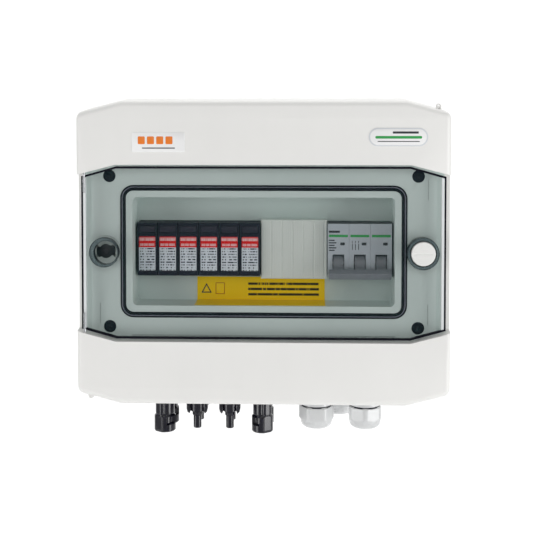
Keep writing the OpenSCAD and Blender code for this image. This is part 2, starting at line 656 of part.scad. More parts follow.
// Dome nut: hexagon above, round dome below.
module gland_nut(p, turn) color("lightgray") difference() {
    z0 = -half_h - gland_hex_t - 0.4;
    z1 = -half_h - gland_l;
    union() {
        translate([p[0], p[1], z1 + 7]) rotate(turn) cylinder(d = gland_af / cos(30), h = z0 - z1 - 7, $fn = 6);
        translate([p[0], p[1], z1]) rotate_extrude() polygon(concat([[0, 0]],
            arc([gland_af / 2 - 6, 6], 6, -90, 0, 8), [[gland_af / 2, 12], [0, 12]]));
    }
    zcyl(neck_r + thread_gap, z1 + 9.5, z0 + 1, p[0], p[1]);
    zcyl(gland_bore_r + 0.8, z1 - 1, z0, p[0], p[1]);
}
module gland_seals() color("dimgray") for (g = gland_pos) difference() {
    zcyl(seal_out_r - 0.05, -half_h - gland_l + 10.2, -half_h - gland_l + 21.8, g[0], g[1]);
    zcyl(gland_bore_r, -half_h - gland_l, -half_h, g[0], g[1]);
}
module gland_locknuts() color("lightgray") for (g = gland_pos) difference() {
    translate([g[0], g[1], -half_h + wall]) cylinder(d = locknut_af / cos(30), h = 5, $fn = 6);
    zcyl(gland_thread_r + 0.1, -half_h, -half_h + wall + 6, g[0], g[1]);
}

// ---------- leads ----------
// Centre line of a lead: straight up, over sideways in an even S, and straight up into the terminal.
function lead_point(from, to, t) = let (s = min(1, max(0, (t - 0.12) / 0.76)), u = (1 - cos(180 * s)) / 2)
    [from[0] + (to[0] - from[0]) * u, from[1] + (to[1] - from[1]) * u, from[2] + (to[2] - from[2]) * t];
// A tube of level rings round that line. It leans little, so level rings keep its thickness.
module lead(from, to) {
    points = [for (i = [0:lead_steps], k = [0:lead_sides - 1])
        lead_point(from, to, i / lead_steps) + lead_r * [cos(360 * k / lead_sides), sin(360 * k / lead_sides), 0]];
    last = lead_steps * lead_sides;
    polyhedron(points = points, faces = concat(
        [[for (k = [0:lead_sides - 1]) k]],
        [[for (k = [lead_sides - 1:-1:0]) last + k]],
        [for (i = [0:lead_steps - 1], k = [0:lead_sides - 1]) let (n = (k + 1) % lead_sides, r = i * lead_sides)
            [r + k, r + lead_sides + k, r + lead_sides + n]],
        [for (i = [0:lead_steps - 1], k = [0:lead_sides - 1]) let (n = (k + 1) % lead_sides, r = i * lead_sides)
            [r + k, r + lead_sides + n, r + n]]));
}
lead_low = -half_h + pv_inside - 8;
lead_high = -spd_h / 2 + lead_depth;
function pole_x(i) = spd_x0 + (i + 0.5) * spd_pitch;
module dc_leads(pairs) for (p = pairs, row = [0, 1])
    lead([pv_x[p[0]], y_pv[row], lead_low], [pole_x(p[1]), term_y[row], lead_high]);
module dc_leads_red() color("firebrick") dc_leads([[0, 0], [3, 5]]);
module dc_leads_black() color([0.1, 0.1, 0.1]) dc_leads([[1, 2], [2, 3]]);

// ---------- labels ----------
label_t = 0.25;
label_x0 = -58;
label_x1 = 52;
// Middle of the upper band's flat face.
band_z = (zone_h / 2 + half_h - cover_draft - edge_r) / 2;
plate_w = 43.7;
plate_h = 16.3;
plate_x = -flat_half + 31.85;
plate_z = band_z - 5.1;
pill_x = flat_half - 6.9;
pill_z = band_z - 0.7;
// Yellow label on the mask, bent forward over the pocket's floor.
module warning_label() color("gold") {
    block([label_x0, y_mask - label_t, -pocket_h / 2], [label_x1, y_mask, -slot_h / 2 - 2.2]);
    block([label_x0, y_flange + 3, -pocket_h / 2], [label_x1, y_mask, -pocket_h / 2 + label_t]);
}
// Plain plates on the upper band.
module badges() color("silver") {
    slab(y_front, y_front - label_t) translate([plate_x, plate_z]) square([plate_w, plate_h], center = true);
    slab(y_front, y_front - label_t) translate([pill_x, pill_z]) polygon(rounded(24.2, 7.6, 7.5));
}

back_box();
front_cover();
cover_seal();
cover_screws();
screw_caps();
window_seal();
door_panel();
hinge_pins();
latch_knob();
latch_cam();
latch_clip();
din_rail();
rail_screws();
spd_base(0);  // spd_base_left
spd_base(3);  // spd_base_right
spd_plug(0);  // spd_plug_1
spd_plug(1);  // spd_plug_2
spd_plug(2);  // spd_plug_3
spd_plug(3);  // spd_plug_4
spd_plug(4);  // spd_plug_5
spd_plug(5);  // spd_plug_6
spd_blades(0);  // spd_blades_1
spd_blades(1);  // spd_blades_2
spd_blades(2);  // spd_blades_3
spd_blades(3);  // spd_blades_4
spd_blades(4);  // spd_blades_5
spd_blades(5);  // spd_blades_6
mcb_pole(0);  // mcb_pole_1
mcb_pole(1);  // mcb_pole_2
mcb_pole(2);  // mcb_pole_3
mcb_levers();
mcb_tie_bar();
mcb_pivot();
rail_clip(clip_x[0]);  // rail_clip_1
rail_clip(clip_x[1]);  // rail_clip_2
rail_clip(clip_x[2]);  // rail_clip_3
rail_clip(clip_x[3]);  // rail_clip_4
rail_clip(clip_x[4]);  // rail_clip_5
terminal_screws();
blank_strip();
earth_bar();
earth_lead();
pv_wide_row(y_pv[0]);  // pv_wide_front
pv_wide_row(y_pv[1]);  // pv_wide_rear
pv_slim_row(y_pv[0]);  // pv_slim_front
pv_slim_row(y_pv[1]);  // pv_slim_rear
pv_locknuts();
pv_contacts();
gland_body(gland_pos[0], 0);  // gland_body_1
gland_body(gland_pos[1], 30);  // gland_body_2
gland_body(gland_pos[2], 10);  // gland_body_3
gland_nut(gland_pos[0], 0);  // gland_nut_1
gland_nut(gland_pos[1], 30);  // gland_nut_2
gland_nut(gland_pos[2], 10);  // gland_nut_3
gland_seals();
gland_locknuts();
dc_leads_red();
dc_leads_black();
warning_label();
badges();
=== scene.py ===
"""A wall-mounted DC combiner box: looks, fittings and studio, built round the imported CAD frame."""
import json
import logging
import math
from dataclasses import dataclass
from enum import Enum
from functools import cache
from typing import Callable, Optional, Sequence

import bmesh
import bpy
import numpy as np
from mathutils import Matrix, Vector


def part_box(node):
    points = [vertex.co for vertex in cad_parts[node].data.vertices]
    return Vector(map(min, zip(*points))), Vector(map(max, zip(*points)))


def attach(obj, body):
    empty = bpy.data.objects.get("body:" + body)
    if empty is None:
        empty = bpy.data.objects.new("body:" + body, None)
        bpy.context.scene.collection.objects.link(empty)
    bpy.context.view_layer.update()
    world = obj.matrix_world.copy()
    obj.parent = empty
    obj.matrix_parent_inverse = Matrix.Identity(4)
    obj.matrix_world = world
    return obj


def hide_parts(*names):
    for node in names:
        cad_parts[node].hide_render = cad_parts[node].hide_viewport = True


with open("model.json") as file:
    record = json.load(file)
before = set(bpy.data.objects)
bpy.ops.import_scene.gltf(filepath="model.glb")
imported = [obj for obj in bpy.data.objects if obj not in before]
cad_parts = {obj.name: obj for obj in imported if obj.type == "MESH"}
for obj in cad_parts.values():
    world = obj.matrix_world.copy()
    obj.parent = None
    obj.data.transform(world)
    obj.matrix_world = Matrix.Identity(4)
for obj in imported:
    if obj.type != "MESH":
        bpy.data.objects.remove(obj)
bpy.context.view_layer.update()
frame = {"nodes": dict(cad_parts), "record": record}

MM = 0.001
MERGE_M = 2e-6
FLAT_DEG = 0.6
BEVEL_DEG = 32.0
LOG = logging.getLogger("combiner_box")
Array = np.ndarray
Colour = tuple[float, float, float]
Pair = tuple[float, float]


class Axis(Enum):
    """Which way a turned piece's own Z axis points."""

    UP = "up"
    FRONT = "front"


class Side(Enum):
    """A side of the box, with the sign of its X."""

    LEFT = -1
    RIGHT = 1

    @property
    def word(self) -> str:
        """The side's word in a piece's name."""
        return self.name.lower()


class Kind(Enum):
    """Kinds of solar connector."""

    WIDE = "wide"
    SLIM = "slim"


class Row(Enum):
    """The two rows of solar connectors."""

    FRONT = "front"
    REAR = "rear"


# ---------------------------------------------------------------- node plumbing
@dataclass
class Wiring:
    """Short ways to add and join nodes in one node tree, a material's or a group's."""

    tree: bpy.types.NodeTree

    def add(self, kind: str, **settings: object) -> bpy.types.Node:
        """Adds a node and sets its plain properties.

        Args:
            kind: the node's type name without the ShaderNode prefix.
            settings: properties of the node, by name.

        Returns:
            The new node.
        """
        prefix = "Node" if kind in ("GroupInput", "GroupOutput") else "ShaderNode"
        node = self.tree.nodes.new(prefix + kind)
        for key, value in settings.items():
            setattr(node, key, value)
        return node

    def join(self, source: bpy.types.NodeSocket, target: bpy.types.NodeSocket) -> None:
        """Links one socket to another."""
        self.tree.links.new(source, target)

    def put(self, value: object, target: bpy.types.NodeSocket) -> None:
        """Sets a socket to a plain value, or links it when the value is a socket."""
        if isinstance(value, bpy.types.NodeSocket):
            self.join(value, target)
        else:
            target.default_value = value

    def math(self, operation: str, *values: object, clamp: bool = False) -> bpy.types.NodeSocket:
        """Adds a Math node.

        Args:
            operation: its operation.
            values: sockets or numbers for its inputs, in order.
            clamp: whether the result is kept between 0 and 1.

        Returns:
            Its output socket.
        """
        node = self.add("Math", operation=operation, use_clamp=clamp)
        for value, socket in zip(values, node.inputs):
            self.put(value, socket)
        return node.outputs[0]

    def mix(self, factor: object, first: object, second: object) -> bpy.types.NodeSocket:
        """Mixes two colours by a factor; each is a socket or plain numbers."""
        node = self.add("Mix", data_type="RGBA")
        self.put(factor, node.inputs["Factor"])
        self.put(first, node.inputs[6])
        self.put(second, node.inputs[7])
        return node.outputs[2]

    def noise(self, vector: object, scale: object, detail: float = 3.0,
              rough: float = 0.5) -> bpy.types.NodeSocket:
        """Adds a Noise Texture read at a vector, and returns its factor."""
        node = self.add("TexNoise")
        given = {"Vector": vector, "Scale": scale, "Detail": detail, "Roughness": rough}
        for label, value in given.items():
            self.put(value, node.inputs[label])
        return node.outputs[0]

    def stretched(self, vector: object, scale: Sequence[float]) -> bpy.types.NodeSocket:
        """Scales a vector by three numbers with a Mapping node."""
        node = self.add("Mapping")
        self.put(vector, node.inputs["Vector"])
        node.inputs["Scale"].default_value = tuple(scale)
        return node.outputs[0]

    def between(self, value: object, low: float, high: float) -> bpy.types.NodeSocket:
        """1 where the value lies between low and high, and 0 elsewhere."""
        above = self.math("GREATER_THAN", value, low)
        below = self.math("LESS_THAN", value, high)
        return self.math("MULTIPLY", above, below)

    def times(self, colour: object, tone: object) -> bpy.types.NodeSocket:
        """Scales a colour by a tone."""
        node = self.add("VectorMath", operation="SCALE")
        self.put(colour, node.inputs[0])
        self.put(tone, node.inputs["Scale"])
        return node.outputs[0]

    def place(self) -> bpy.types.NodeSocket:
        """The point's place in object coordinates."""
        return self.add("TexCoord").outputs["Object"]

    def split(self, vector: object) -> Sequence[bpy.types.NodeSocket]:
        """A vector's X, Y and Z."""
        node = self.add("SeparateXYZ")
        self.put(vector, node.inputs[0])
        return node.outputs

    def group(self, tree: bpy.types.NodeTree, **values: object) -> Sequence[bpy.types.NodeSocket]:
        """Puts a node group into the tree.

        Args:
            tree: the group.
            values: its inputs, with underscores for spaces in their names.

        Returns:
            The group's outputs.
        """
        node = self.add("Group")
        node.node_tree = tree
        for key, value in values.items():
            self.put(value, node.inputs[key.replace("_", " ")])
        return node.outputs

    def give(self, **sockets: bpy.types.NodeSocket) -> bpy.types.NodeTree:
        """Joins sockets to the group's outputs by name, and returns the tree."""
        out = self.add("GroupOutput").inputs
        for label, socket in sockets.items():
            self.join(socket, out[label])
        return self.tree


def new_group(name: str, inputs: dict[str, tuple[str, object]], outputs: dict[str, str]) -> Wiring:
    """Makes an empty node group with named sockets.

    Args:
        name: the group's name.
        inputs: socket name to its kind and default value.
        outputs: socket name to its kind.

    Returns:
        The wiring of the group's tree.
    """
    tree = bpy.data.node_groups.new(name, "ShaderNodeTree")
    for label, (kind, value) in inputs.items():
        socket = tree.interface.new_socket(label, in_out="INPUT", socket_type="NodeSocket" + kind)
        socket.default_value = value
    for label, kind in outputs.items():
        tree.interface.new_socket(label, in_out="OUTPUT", socket_type="NodeSocket" + kind)
    return Wiring(tree)


class Groups:
    """The node groups that several finishes share, each built once."""

    @staticmethod
    @cache
    def moulded() -> bpy.types.NodeTree:
        """Moulded plastic: faint cloudy colour, fine grain, uneven gloss, and dust that settles on top."""
        wire = new_group(
            "moulded grain",
            {"Colour": ("Color", (0.8, 0.8, 0.8, 1)), "Mottle": ("Float", 0.03),
             "Roughness": ("Float", 0.4), "Spread": ("Float", 0.08), "Dust": ("Float", 0.1),
             "Grain scale": ("Float", 900.0)},
            {"Colour": "Color", "Roughness": "Float", "Height": "Float"})
        get = wire.add("GroupInput").outputs
        place = wire.place()
        cloud = wire.noise(place, 22.0, 4.0, 0.6)
        streak = wire.noise(wire.stretched(place, (6.0, 6.0, 1.2)), 9.0)
        both = wire.math("ADD", cloud, streak)
        shade = wire.math("MULTIPLY", wire.math("SUBTRACT", both, 1.0), get["Mottle"])
        clean = wire.times(get["Colour"], wire.math("ADD", shade, 1.0))
        facing = wire.split(wire.add("NewGeometry").outputs["Normal"])
        upward = wire.math("MULTIPLY", wire.math("SUBTRACT", facing["Z"], 0.3), 1.4, clamp=True)
        patchy = wire.math("MULTIPLY", wire.noise(place, 130.0, 5.0, 0.7), upward)
        dusty = wire.math("MULTIPLY", patchy, get["Dust"], clamp=True)
        uneven = wire.math("MULTIPLY", wire.math("SUBTRACT", cloud, 0.5), get["Spread"])
        rough = wire.math("ADD", wire.math("ADD", get["Roughness"], uneven),
                          wire.math("MULTIPLY", dusty, 0.4), clamp=True)
        return wire.give(Colour=wire.mix(dusty, clean, (0.60, 0.57, 0.52, 1)), Roughness=rough,
                         Height=wire.noise(place, get["Grain scale"], 2.0))

    @staticmethod
    @cache
    def edge_wear() -> bpy.types.NodeTree:
        """Where edges are rubbed: high where the surface is sharply convex, broken up by noise."""
        wire = new_group("edge wear", {"Amount": ("Float", 0.3)}, {"Mask": "Float"})
        get = wire.add("GroupInput").outputs
        sharp = wire.add("NewGeometry").outputs["Pointiness"]
        raised = wire.math("MULTIPLY", wire.math("SUBTRACT", sharp, 0.53), 9.0, clamp=True)
        broken = wire.math("MULTIPLY", wire.noise(wire.place(), 320.0, 4.0), raised)
        return wire.give(Mask=wire.math("MULTIPLY", broken, get["Amount"], clamp=True))

    @staticmethod
    @cache
    def brushed() -> bpy.types.NodeTree:
        """Rolled or turned metal: long thin scratches along X, and a cloudy plating."""
        wire = new_group("brushed metal",
                         {"Colour": ("Color", (0.6, 0.6, 0.6, 1)), "Roughness": ("Float", 0.3)},
                         {"Colour": "Color", "Roughness": "Float", "Height": "Float"})
        get = wire.add("GroupInput").outputs
        place = wire.place()
        scratch = wire.noise(wire.stretched(place, (30.0, 900.0, 900.0)), 3.0, 4.0)
        cloud = wire.noise(place, 60.0, 4.0)
        tone = wire.math("ADD", 0.82, wire.math("MULTIPLY", cloud, 0.36))
        rough = wire.math("ADD", get["Roughness"],
                          wire.math("MULTIPLY", wire.math("SUBTRACT", scratch, 0.5), 0.35), clamp=True)
        return wire.give(Colour=wire.times(get["Colour"], tone), Roughness=rough, Height=scratch)

    @staticmethod
    @cache
    def print_rows() -> bpy.types.NodeTree:
        """Rows of short printed marks that stand for small print, without letters.

        A point's row is its height over the row height; a mark shows in the middle of a row where a
        noise read along the row is high.
        """
        wire = new_group("print rows", {"Across": ("Float", 0.0), "Up": ("Float", 0.0),
                                        "Row": ("Float", 2.0), "Fill": ("Float", 0.5)}, {"Mask": "Float"})
        get = wire.add("GroupInput").outputs
        rows = wire.math("DIVIDE", get["Up"], get["Row"])
        seat = wire.add("CombineXYZ")
        wire.join(wire.math("MULTIPLY", get["Across"], 1.1), seat.inputs["X"])
        wire.join(wire.math("MULTIPLY", wire.math("FLOOR", rows), 7.3), seat.inputs["Y"])
        marks = wire.math("GREATER_THAN", wire.noise(seat.outputs[0], 1.0, 1.0), get["Fill"])
        line = wire.between(wire.math("FRACT", rows), 0.28, 0.74)
        return wire.give(Mask=wire.math("MULTIPLY", marks, line))


# ---------------------------------------------------------------- finishes
def new_material(name: str) -> tuple[bpy.types.Material, Wiring, bpy.types.Node]:
    """Makes an empty material with its Principled shader.

    Args:
        name: the material's name.

    Returns:
        The material, its wiring and the shader.
    """
    material = bpy.data.materials.new(name)
    material.use_nodes = True
    shader = material.node_tree.nodes["Principled BSDF"]
    return material, Wiring(material.node_tree), shader


def feed(wire: Wiring, shader: bpy.types.Node, surface: Sequence[bpy.types.NodeSocket], strength: float,
         depth_mm: float) -> None:
    """Joins a surface group to a shader: colour, roughness, and height through a Bump node.

    Args:
        wire: the material's wiring.
        shader: the material's shader.
        surface: the group's outputs.
        strength: the bump's strength.
        depth_mm: the bump's depth.
    """
    bump = wire.add("Bump")
    bump.inputs["Strength"].default_value = strength
    bump.inputs["Distance"].default_value = depth_mm * MM
    wire.join(surface["Height"], bump.inputs["Height"])
    wire.join(surface["Colour"], shader.inputs["Base Color"])
    wire.join(surface["Roughness"], shader.inputs["Roughness"])
    wire.join(bump.outputs[0], shader.inputs["Normal"])


@dataclass(frozen=True)
class Plastic:
    """Moulded plastic or rubber."""

    name: str
    colour: Colour
    roughness: float = 0.4
    mottle: float = 0.05
    dust: float = 0.06
    grain: float = 0.25
    grain_scale: float = 1400.0
    wear: float = 0.0
    worn: Colour = (0.8, 0.8, 0.8)
    specular: float = 0.5
    cover: float = 1.0

    def material(self) -> bpy.types.Material:
        """Builds the material."""
        material, wire, shader = new_material(self.name)
        grain = wire.group(Groups.moulded(), Colour=(*self.colour, 1), Mottle=self.mottle,
                           Roughness=self.roughness, Dust=self.dust, Grain_scale=self.grain_scale)
        feed(wire, shader, grain, self.grain, 0.05)
        wear = wire.group(Groups.edge_wear(), Amount=self.wear)
        wire.join(wire.mix(wear["Mask"], grain["Colour"], (*self.worn, 1)), shader.inputs["Base Color"])
        shader.inputs["Specular IOR Level"].default_value = self.specular
        shader.inputs["Alpha"].default_value = self.cover
        return material


@dataclass(frozen=True)
class CoverPlastic(Plastic):
    """The cover's moulding, with painted shade: a second, greener tone on the flange and pocket under the door."""

    # Painted shade: the cover itself is one tone; this greener tone stands for light tinted by the door.
    door_shade_tone: Colour = (0.63, 0.72, 0.695)
    half_width: float = 150.3
    half_height: float = 74.0
    depth: float = -128.5

    def material(self) -> bpy.types.Material:
        """Builds the material: the painted shade tone shows where the point lies under the door."""
        material = super().material()
        wire = Wiring(material.node_tree)
        place = wire.split(wire.place())
        across = wire.math("LESS_THAN", wire.math("ABSOLUTE", place["X"]), self.half_width * MM)
        up = wire.math("LESS_THAN", wire.math("ABSOLUTE", place["Z"]), self.half_height * MM)
        behind = wire.math("GREATER_THAN", place["Y"], self.depth * MM)
        inside = wire.math("MULTIPLY", wire.math("MULTIPLY", across, up), behind)
        tone = wire.mix(inside, (*self.colour, 1), (*self.door_shade_tone, 1))
        group = next(node for node in material.node_tree.nodes if "Mottle" in node.inputs)
        wire.join(tone, group.inputs["Colour"])
        return material


@dataclass(frozen=True)
class Metal:
    """Plated or brushed metal."""

    name: str
    colour: Colour
    roughness: float = 0.3

    def material(self) -> bpy.types.Material:
        """Builds the material."""
        material, wire, shader = new_material(self.name)
        brushed = wire.group(Groups.brushed(), Colour=(*self.colour, 1), Roughness=self.roughness)
        feed(wire, shader, brushed, 0.2, 0.03)
        shader.inputs["Metallic"].default_value = 1.0
        return material


@dataclass(frozen=True)
class ClearSheet:
    """Tinted see-through moulding: each of its two skins lets most of the light through."""

    name: str
    tint: Colour
    cover: float
    shine: float = 0.15

    def material(self) -> bpy.types.Material:
        """Builds the material, a little denser where the moulding is cloudy."""
        material, wire, shader = new_material(self.name)
        grain = wire.group(Groups.moulded(), Colour=(*self.tint, 1), Mottle=0.2, Roughness=0.06,
                           Spread=0.04, Dust=0.02, Grain_scale=300.0)
        feed(wire, shader, grain, 0.04, 0.02)
        cloud = wire.noise(wire.stretched(wire.place(), (3.0, 3.0, 1.0)), 7.0)
        cover = wire.math("ADD", self.cover - 0.02, wire.math("MULTIPLY", cloud, 0.04))
        wire.join(cover, shader.inputs["Alpha"])
        shader.inputs["Specular IOR Level"].default_value = self.shine
        return material


PRINT_SPECULAR = 0.2


@dataclass(frozen=True)
class ArresterLabel:
    """The arresters' printed labels: a red head over a pale field with rows of marks."""

    name: str
    left: float
    pitch: float
    split: float
    red: Colour = (0.74, 0.005, 0.008)
    pale: Colour = (0.66, 0.71, 0.77)

    def material(self) -> bpy.types.Material:
        """Builds the material from the place across one module and the height, in millimetres."""
        material, wire, shader = new_material(self.name)
        place = wire.split(wire.place())
        steps = wire.math("DIVIDE", wire.math("SUBTRACT", place["X"], self.left), self.pitch)
        across = wire.math("MULTIPLY", wire.math("FRACT", steps), self.pitch / MM)
        up = wire.math("MULTIPLY", wire.math("SUBTRACT", place["Z"], self.split), 1.0 / MM)
        head = wire.math("GREATER_THAN", up, 0.0)
        inside = wire.between(across, 2.6, 14.9)
        fine = wire.group(Groups.print_rows(), Across=across, Up=up, Row=2.3, Fill=0.475)
        columns = wire.math("SUBTRACT", 1.0, wire.between(across, 6.0, 7.4))
        marks = wire.math("MULTIPLY", wire.math("MULTIPLY", fine["Mask"], inside), columns)
        bold = wire.group(Groups.print_rows(), Across=across, Up=up, Row=4.4, Fill=0.42)
        bright = wire.math("MULTIPLY", bold["Mask"], inside)
        field_colour = wire.mix(marks, (*self.pale, 1), (0.02, 0.022, 0.035, 1))
        band = wire.between(up, 5.6, 8.6)
        head_colour = wire.mix(wire.math("MULTIPLY", band, 0.55), (*self.red, 1), (0.75, 0.35, 0.36, 1))
        head_colour = wire.mix(wire.math("MULTIPLY", bright, 0.55), head_colour, (0.85, 0.75, 0.76, 1))
        base = wire.mix(head, field_colour, head_colour)
        feed(wire, shader, wire.group(Groups.moulded(), Colour=base, Mottle=0.05, Roughness=0.32, Dust=0.0),
             0.1, 0.02)
        shader.inputs["Specular IOR Level"].default_value = PRINT_SPECULAR
        return material


@dataclass(frozen=True)
class PrintedFilm:
    """A printed film: one colour with rows of marks inside a window."""

    name: str
    colour: Colour
    ink: Colour
    window: tuple[float, float, float, float]
    row: float
    fill: float = 0.5
    roughness: float = 0.3

    def material(self) -> bpy.types.Material:
        """Builds the material. The window is left, right, bottom and top, in millimetres."""
        material, wire, shader = new_material(self.name)
        place = wire.split(wire.place())
        across = wire.math("MULTIPLY", place["X"], 1.0 / MM)
        up = wire.math("MULTIPLY", place["Z"], 1.0 / MM)
        left, right, low, high = self.window
        rows = wire.group(Groups.print_rows(), Across=wire.math("MULTIPLY", across, 0.8),
                          Up=wire.math("SUBTRACT", up, low), Row=self.row, Fill=self.fill)
        window = wire.math("MULTIPLY", wire.between(across, left, right), wire.between(up, low, high))
        marks = wire.math("MULTIPLY", rows["Mask"], window)
        base = wire.mix(marks, (*self.colour, 1), (*self.ink, 1))
        film = wire.group(Groups.moulded(), Colour=base, Mottle=0.06, Roughness=self.roughness, Dust=0.0)
        feed(wire, shader, film, 0.1, 0.02)
        shader.inputs["Specular IOR Level"].default_value = PRINT_SPECULAR
        return material


HOUSING = Plastic("satin white moulding", (0.81, 0.805, 0.785), 0.42, 0.03, 0.03, 0.18, 1700.0, 0.15)
COVER = CoverPlastic("satin white cover", (0.81, 0.805, 0.785), 0.42, 0.03, 0.03, 0.18, 1700.0, 0.15)
INSERT = Plastic("keyhole insert", (0.022, 0.030, 0.036), 0.24, 0.2, 0.0)
# Painted shade: the dark lines at the edges of the wells' rings.
WELL_LINE_SHADE = Plastic("well line painted shade", (0.012, 0.020, 0.024), 0.2, 0.1, 0.0, specular=0.2, cover=0.9)
CLEAR = ClearSheet("smoky clear sheet", (0.012, 0.040, 0.036), 0.115)
# Painted shade: the dark line round the door, for its edge seen on end and the shadowed gap.
DOOR_EDGE_SHADE = Plastic("door edge painted shade", (0.005, 0.005, 0.011), 0.25, 0.2, 0.0, specular=0.15)
# Painted shade: the well walls seen on end through the door, and their shadow.
WELL_RING_SHADE = Plastic("well ring", (0.11, 0.155, 0.165), 0.2, 0.1, 0.0, cover=0.6)
# Painted highlight: the bright strip inside the door's side edges, where the round edge catches light.
DOOR_RIM_HIGHLIGHT = Plastic("door rim painted highlight", (0.86, 0.89, 0.90), 0.2, 0.03, 0.0, cover=0.8)
SEAL = Plastic("black seal rubber", (0.006, 0.007, 0.014), 0.42, 0.3, 0.02, 0.3, 2200.0, wear=0.1,
               worn=(0.1, 0.1, 0.1), specular=0.2)
# Painted highlight: the pale line of light caught between the seal's lips.
SEAL_HIGHLIGHT = Plastic("seal painted highlight", (0.26, 0.265, 0.33), 0.35, 0.05, 0.0)
WITNESS = Plastic("witness line", (0.30, 0.34, 0.335), 0.4, 0.1, 0.0)
CAP = Plastic("black cap", (0.004, 0.005, 0.014), 0.35, 0.2, 0.02, 0.3, 1800.0, wear=0.2,
              worn=(0.12, 0.12, 0.14), specular=0.25)
KNOB = Plastic("white knob", (0.78, 0.78, 0.76), 0.33, 0.03, 0.04, wear=0.1)
ARRESTER = Plastic("slate moulding", (0.011, 0.010, 0.024), 0.46, 0.25, 0.02, 0.35, 1500.0, wear=0.35,
                   worn=(0.14, 0.14, 0.18), specular=0.22)
GRIP = Plastic("arrester grip", (0.026, 0.022, 0.040), 0.3, 0.2, 0.0, specular=0.3)
BREAKER = Plastic("breaker moulding", (0.42, 0.46, 0.50), 0.36, 0.05, 0.02, 0.2, wear=0.1)
# Painted shade: the dark film and plate over the breaker's shadowed top and right end.
BREAKER_SHADE = Plastic("breaker painted shade", (0.045, 0.048, 0.060), 0.5, 0.1, 0.0)
LEVER = Plastic("lever moulding", (0.18, 0.195, 0.22), 0.38, 0.1, 0.02, wear=0.12)
LEVER_BASE = Plastic("lever drum", (0.17, 0.18, 0.20), 0.42, 0.08, 0.02, wear=0.15)
GREEN = Plastic("green print", (0.03, 0.33, 0.075), 0.35, 0.04, 0.0)
DARK_PRINT = Plastic("dark print", (0.025, 0.028, 0.035), 0.4, 0.1, 0.0)
STRIP = Plastic("blanking strip moulding", (0.66, 0.70, 0.665), 0.42, 0.14, 0.02, 0.3, wear=0.15)
CONNECTOR = Plastic("black connector moulding", (0.003, 0.003, 0.009), 0.15, 0.2, 0.0, 0.08, 1200.0,
                    wear=0.12, worn=(0.3, 0.3, 0.34), specular=0.55)
GLAND = Plastic("gland polyamide", (0.62, 0.63, 0.635), 0.18, 0.04, 0.02, 0.06, 1300.0, wear=0.1,
                specular=0.6)
WHITE_PLATE = Plastic("white plate", (0.86, 0.86, 0.86), 0.25, 0.02, 0.0)
SILVER_PLATE = Plastic("silver plate", (0.66, 0.68, 0.71), 0.22, 0.05, 0.0)
ORANGE = Plastic("orange print", (0.80, 0.20, 0.02), 0.3, 0.04, 0.0)
STEEL = Metal("zinc plated steel", (0.55, 0.56, 0.58), 0.32)
TIN = Metal("tinned contact", (0.66, 0.66, 0.64), 0.25)
BRASS = Metal("brass", (0.62, 0.44, 0.17), 0.28)
RED_SHEATH = Plastic("red sheath", (0.40, 0.012, 0.015), 0.45, 0.1, 0.02)
BLACK_SHEATH = Plastic("black sheath", (0.012, 0.012, 0.014), 0.45, 0.1, 0.02)
GREEN_SHEATH = Plastic("green sheath", (0.04, 0.26, 0.05), 0.45, 0.1, 0.02)


@cache
def made(finish: object) -> bpy.types.Material:
    """A finish's material, built the first time that it is asked for."""
    return finish.material()


# ---------------------------------------------------------------- surfaces
def grid_quads(rows: int, cols: int, close_rows: bool, close_cols: bool) -> Array:
    """Corner numbers of the quads of a grid of points, as an array with four columns.

    Args:
        rows: rows of points.
        cols: points in a row.
        close_rows: whether the last row joins the first.
        close_cols: whether each row's last point joins its first.

    Returns:
        The quads.
    """
    i, j = np.meshgrid(np.arange(rows if close_rows else rows - 1),
                       np.arange(cols if close_cols else cols - 1), indexing="ij")
    below, right = (i + 1) % rows, (j + 1) % cols
    corners = [i * cols + j, below * cols + j, below * cols + right, i * cols + right]
    return np.stack(corners, -1).reshape(-1, 4)


def show(name: str, mesh: bpy.types.Mesh, finish: object, body: str,
         crease_deg: float) -> bpy.types.Object:
    """Puts a mesh in the scene: smoothed up to a crease, dressed, riding on its body."""
    mesh.polygons.foreach_set("use_smooth", np.ones(len(mesh.polygons), bool))
    mesh.set_sharp_from_angle(angle=math.radians(crease_deg))
    mesh.materials.append(made(finish))
    piece = bpy.data.objects.new(name, mesh)
    bpy.context.scene.collection.objects.link(piece)
    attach(piece, body)
    return piece


def finish_piece(name: str, mesh: bpy.types.Mesh, finish: object, body: str,
                 crease_deg: float = 40.0) -> bpy.types.Object:
    """Turns a new mesh into a piece: merged, faced outwards, and shown.

    Args:
        name: the piece's name.
        mesh: its mesh, in metres, in place.
        finish: its finish.
        body: the CAD body that it rides on.
        crease_deg: edges sharper than this stay sharp.

    Returns:
        The piece.
    """
    work = bmesh.new()
    work.from_mesh(mesh)
    bmesh.ops.remove_doubles(work, verts=work.verts, dist=MERGE_M)
    bmesh.ops.recalc_face_normals(work, faces=work.faces)
    work.to_mesh(mesh)
    work.free()
    return show(name, mesh, finish, body, crease_deg)


def mesh_from(name: str, points: Array, faces: list) -> bpy.types.Mesh:
    """Makes a mesh from points in millimetres and lists of corner numbers."""
    mesh = bpy.data.meshes.new(name)
    mesh.from_pydata((points.reshape(-1, 3) * MM).tolist(), [], faces)
    mesh.update()
    return mesh


def stood(points: Array, axis: Axis, centre: Sequence[float]) -> Array:
    """Stands points drawn round the Z axis round another axis, and moves them to a centre."""
    if axis is Axis.FRONT:
        points = np.stack([points[..., 0], -points[..., 2], points[..., 1]], -1)
    return points + np.asarray(centre, float)


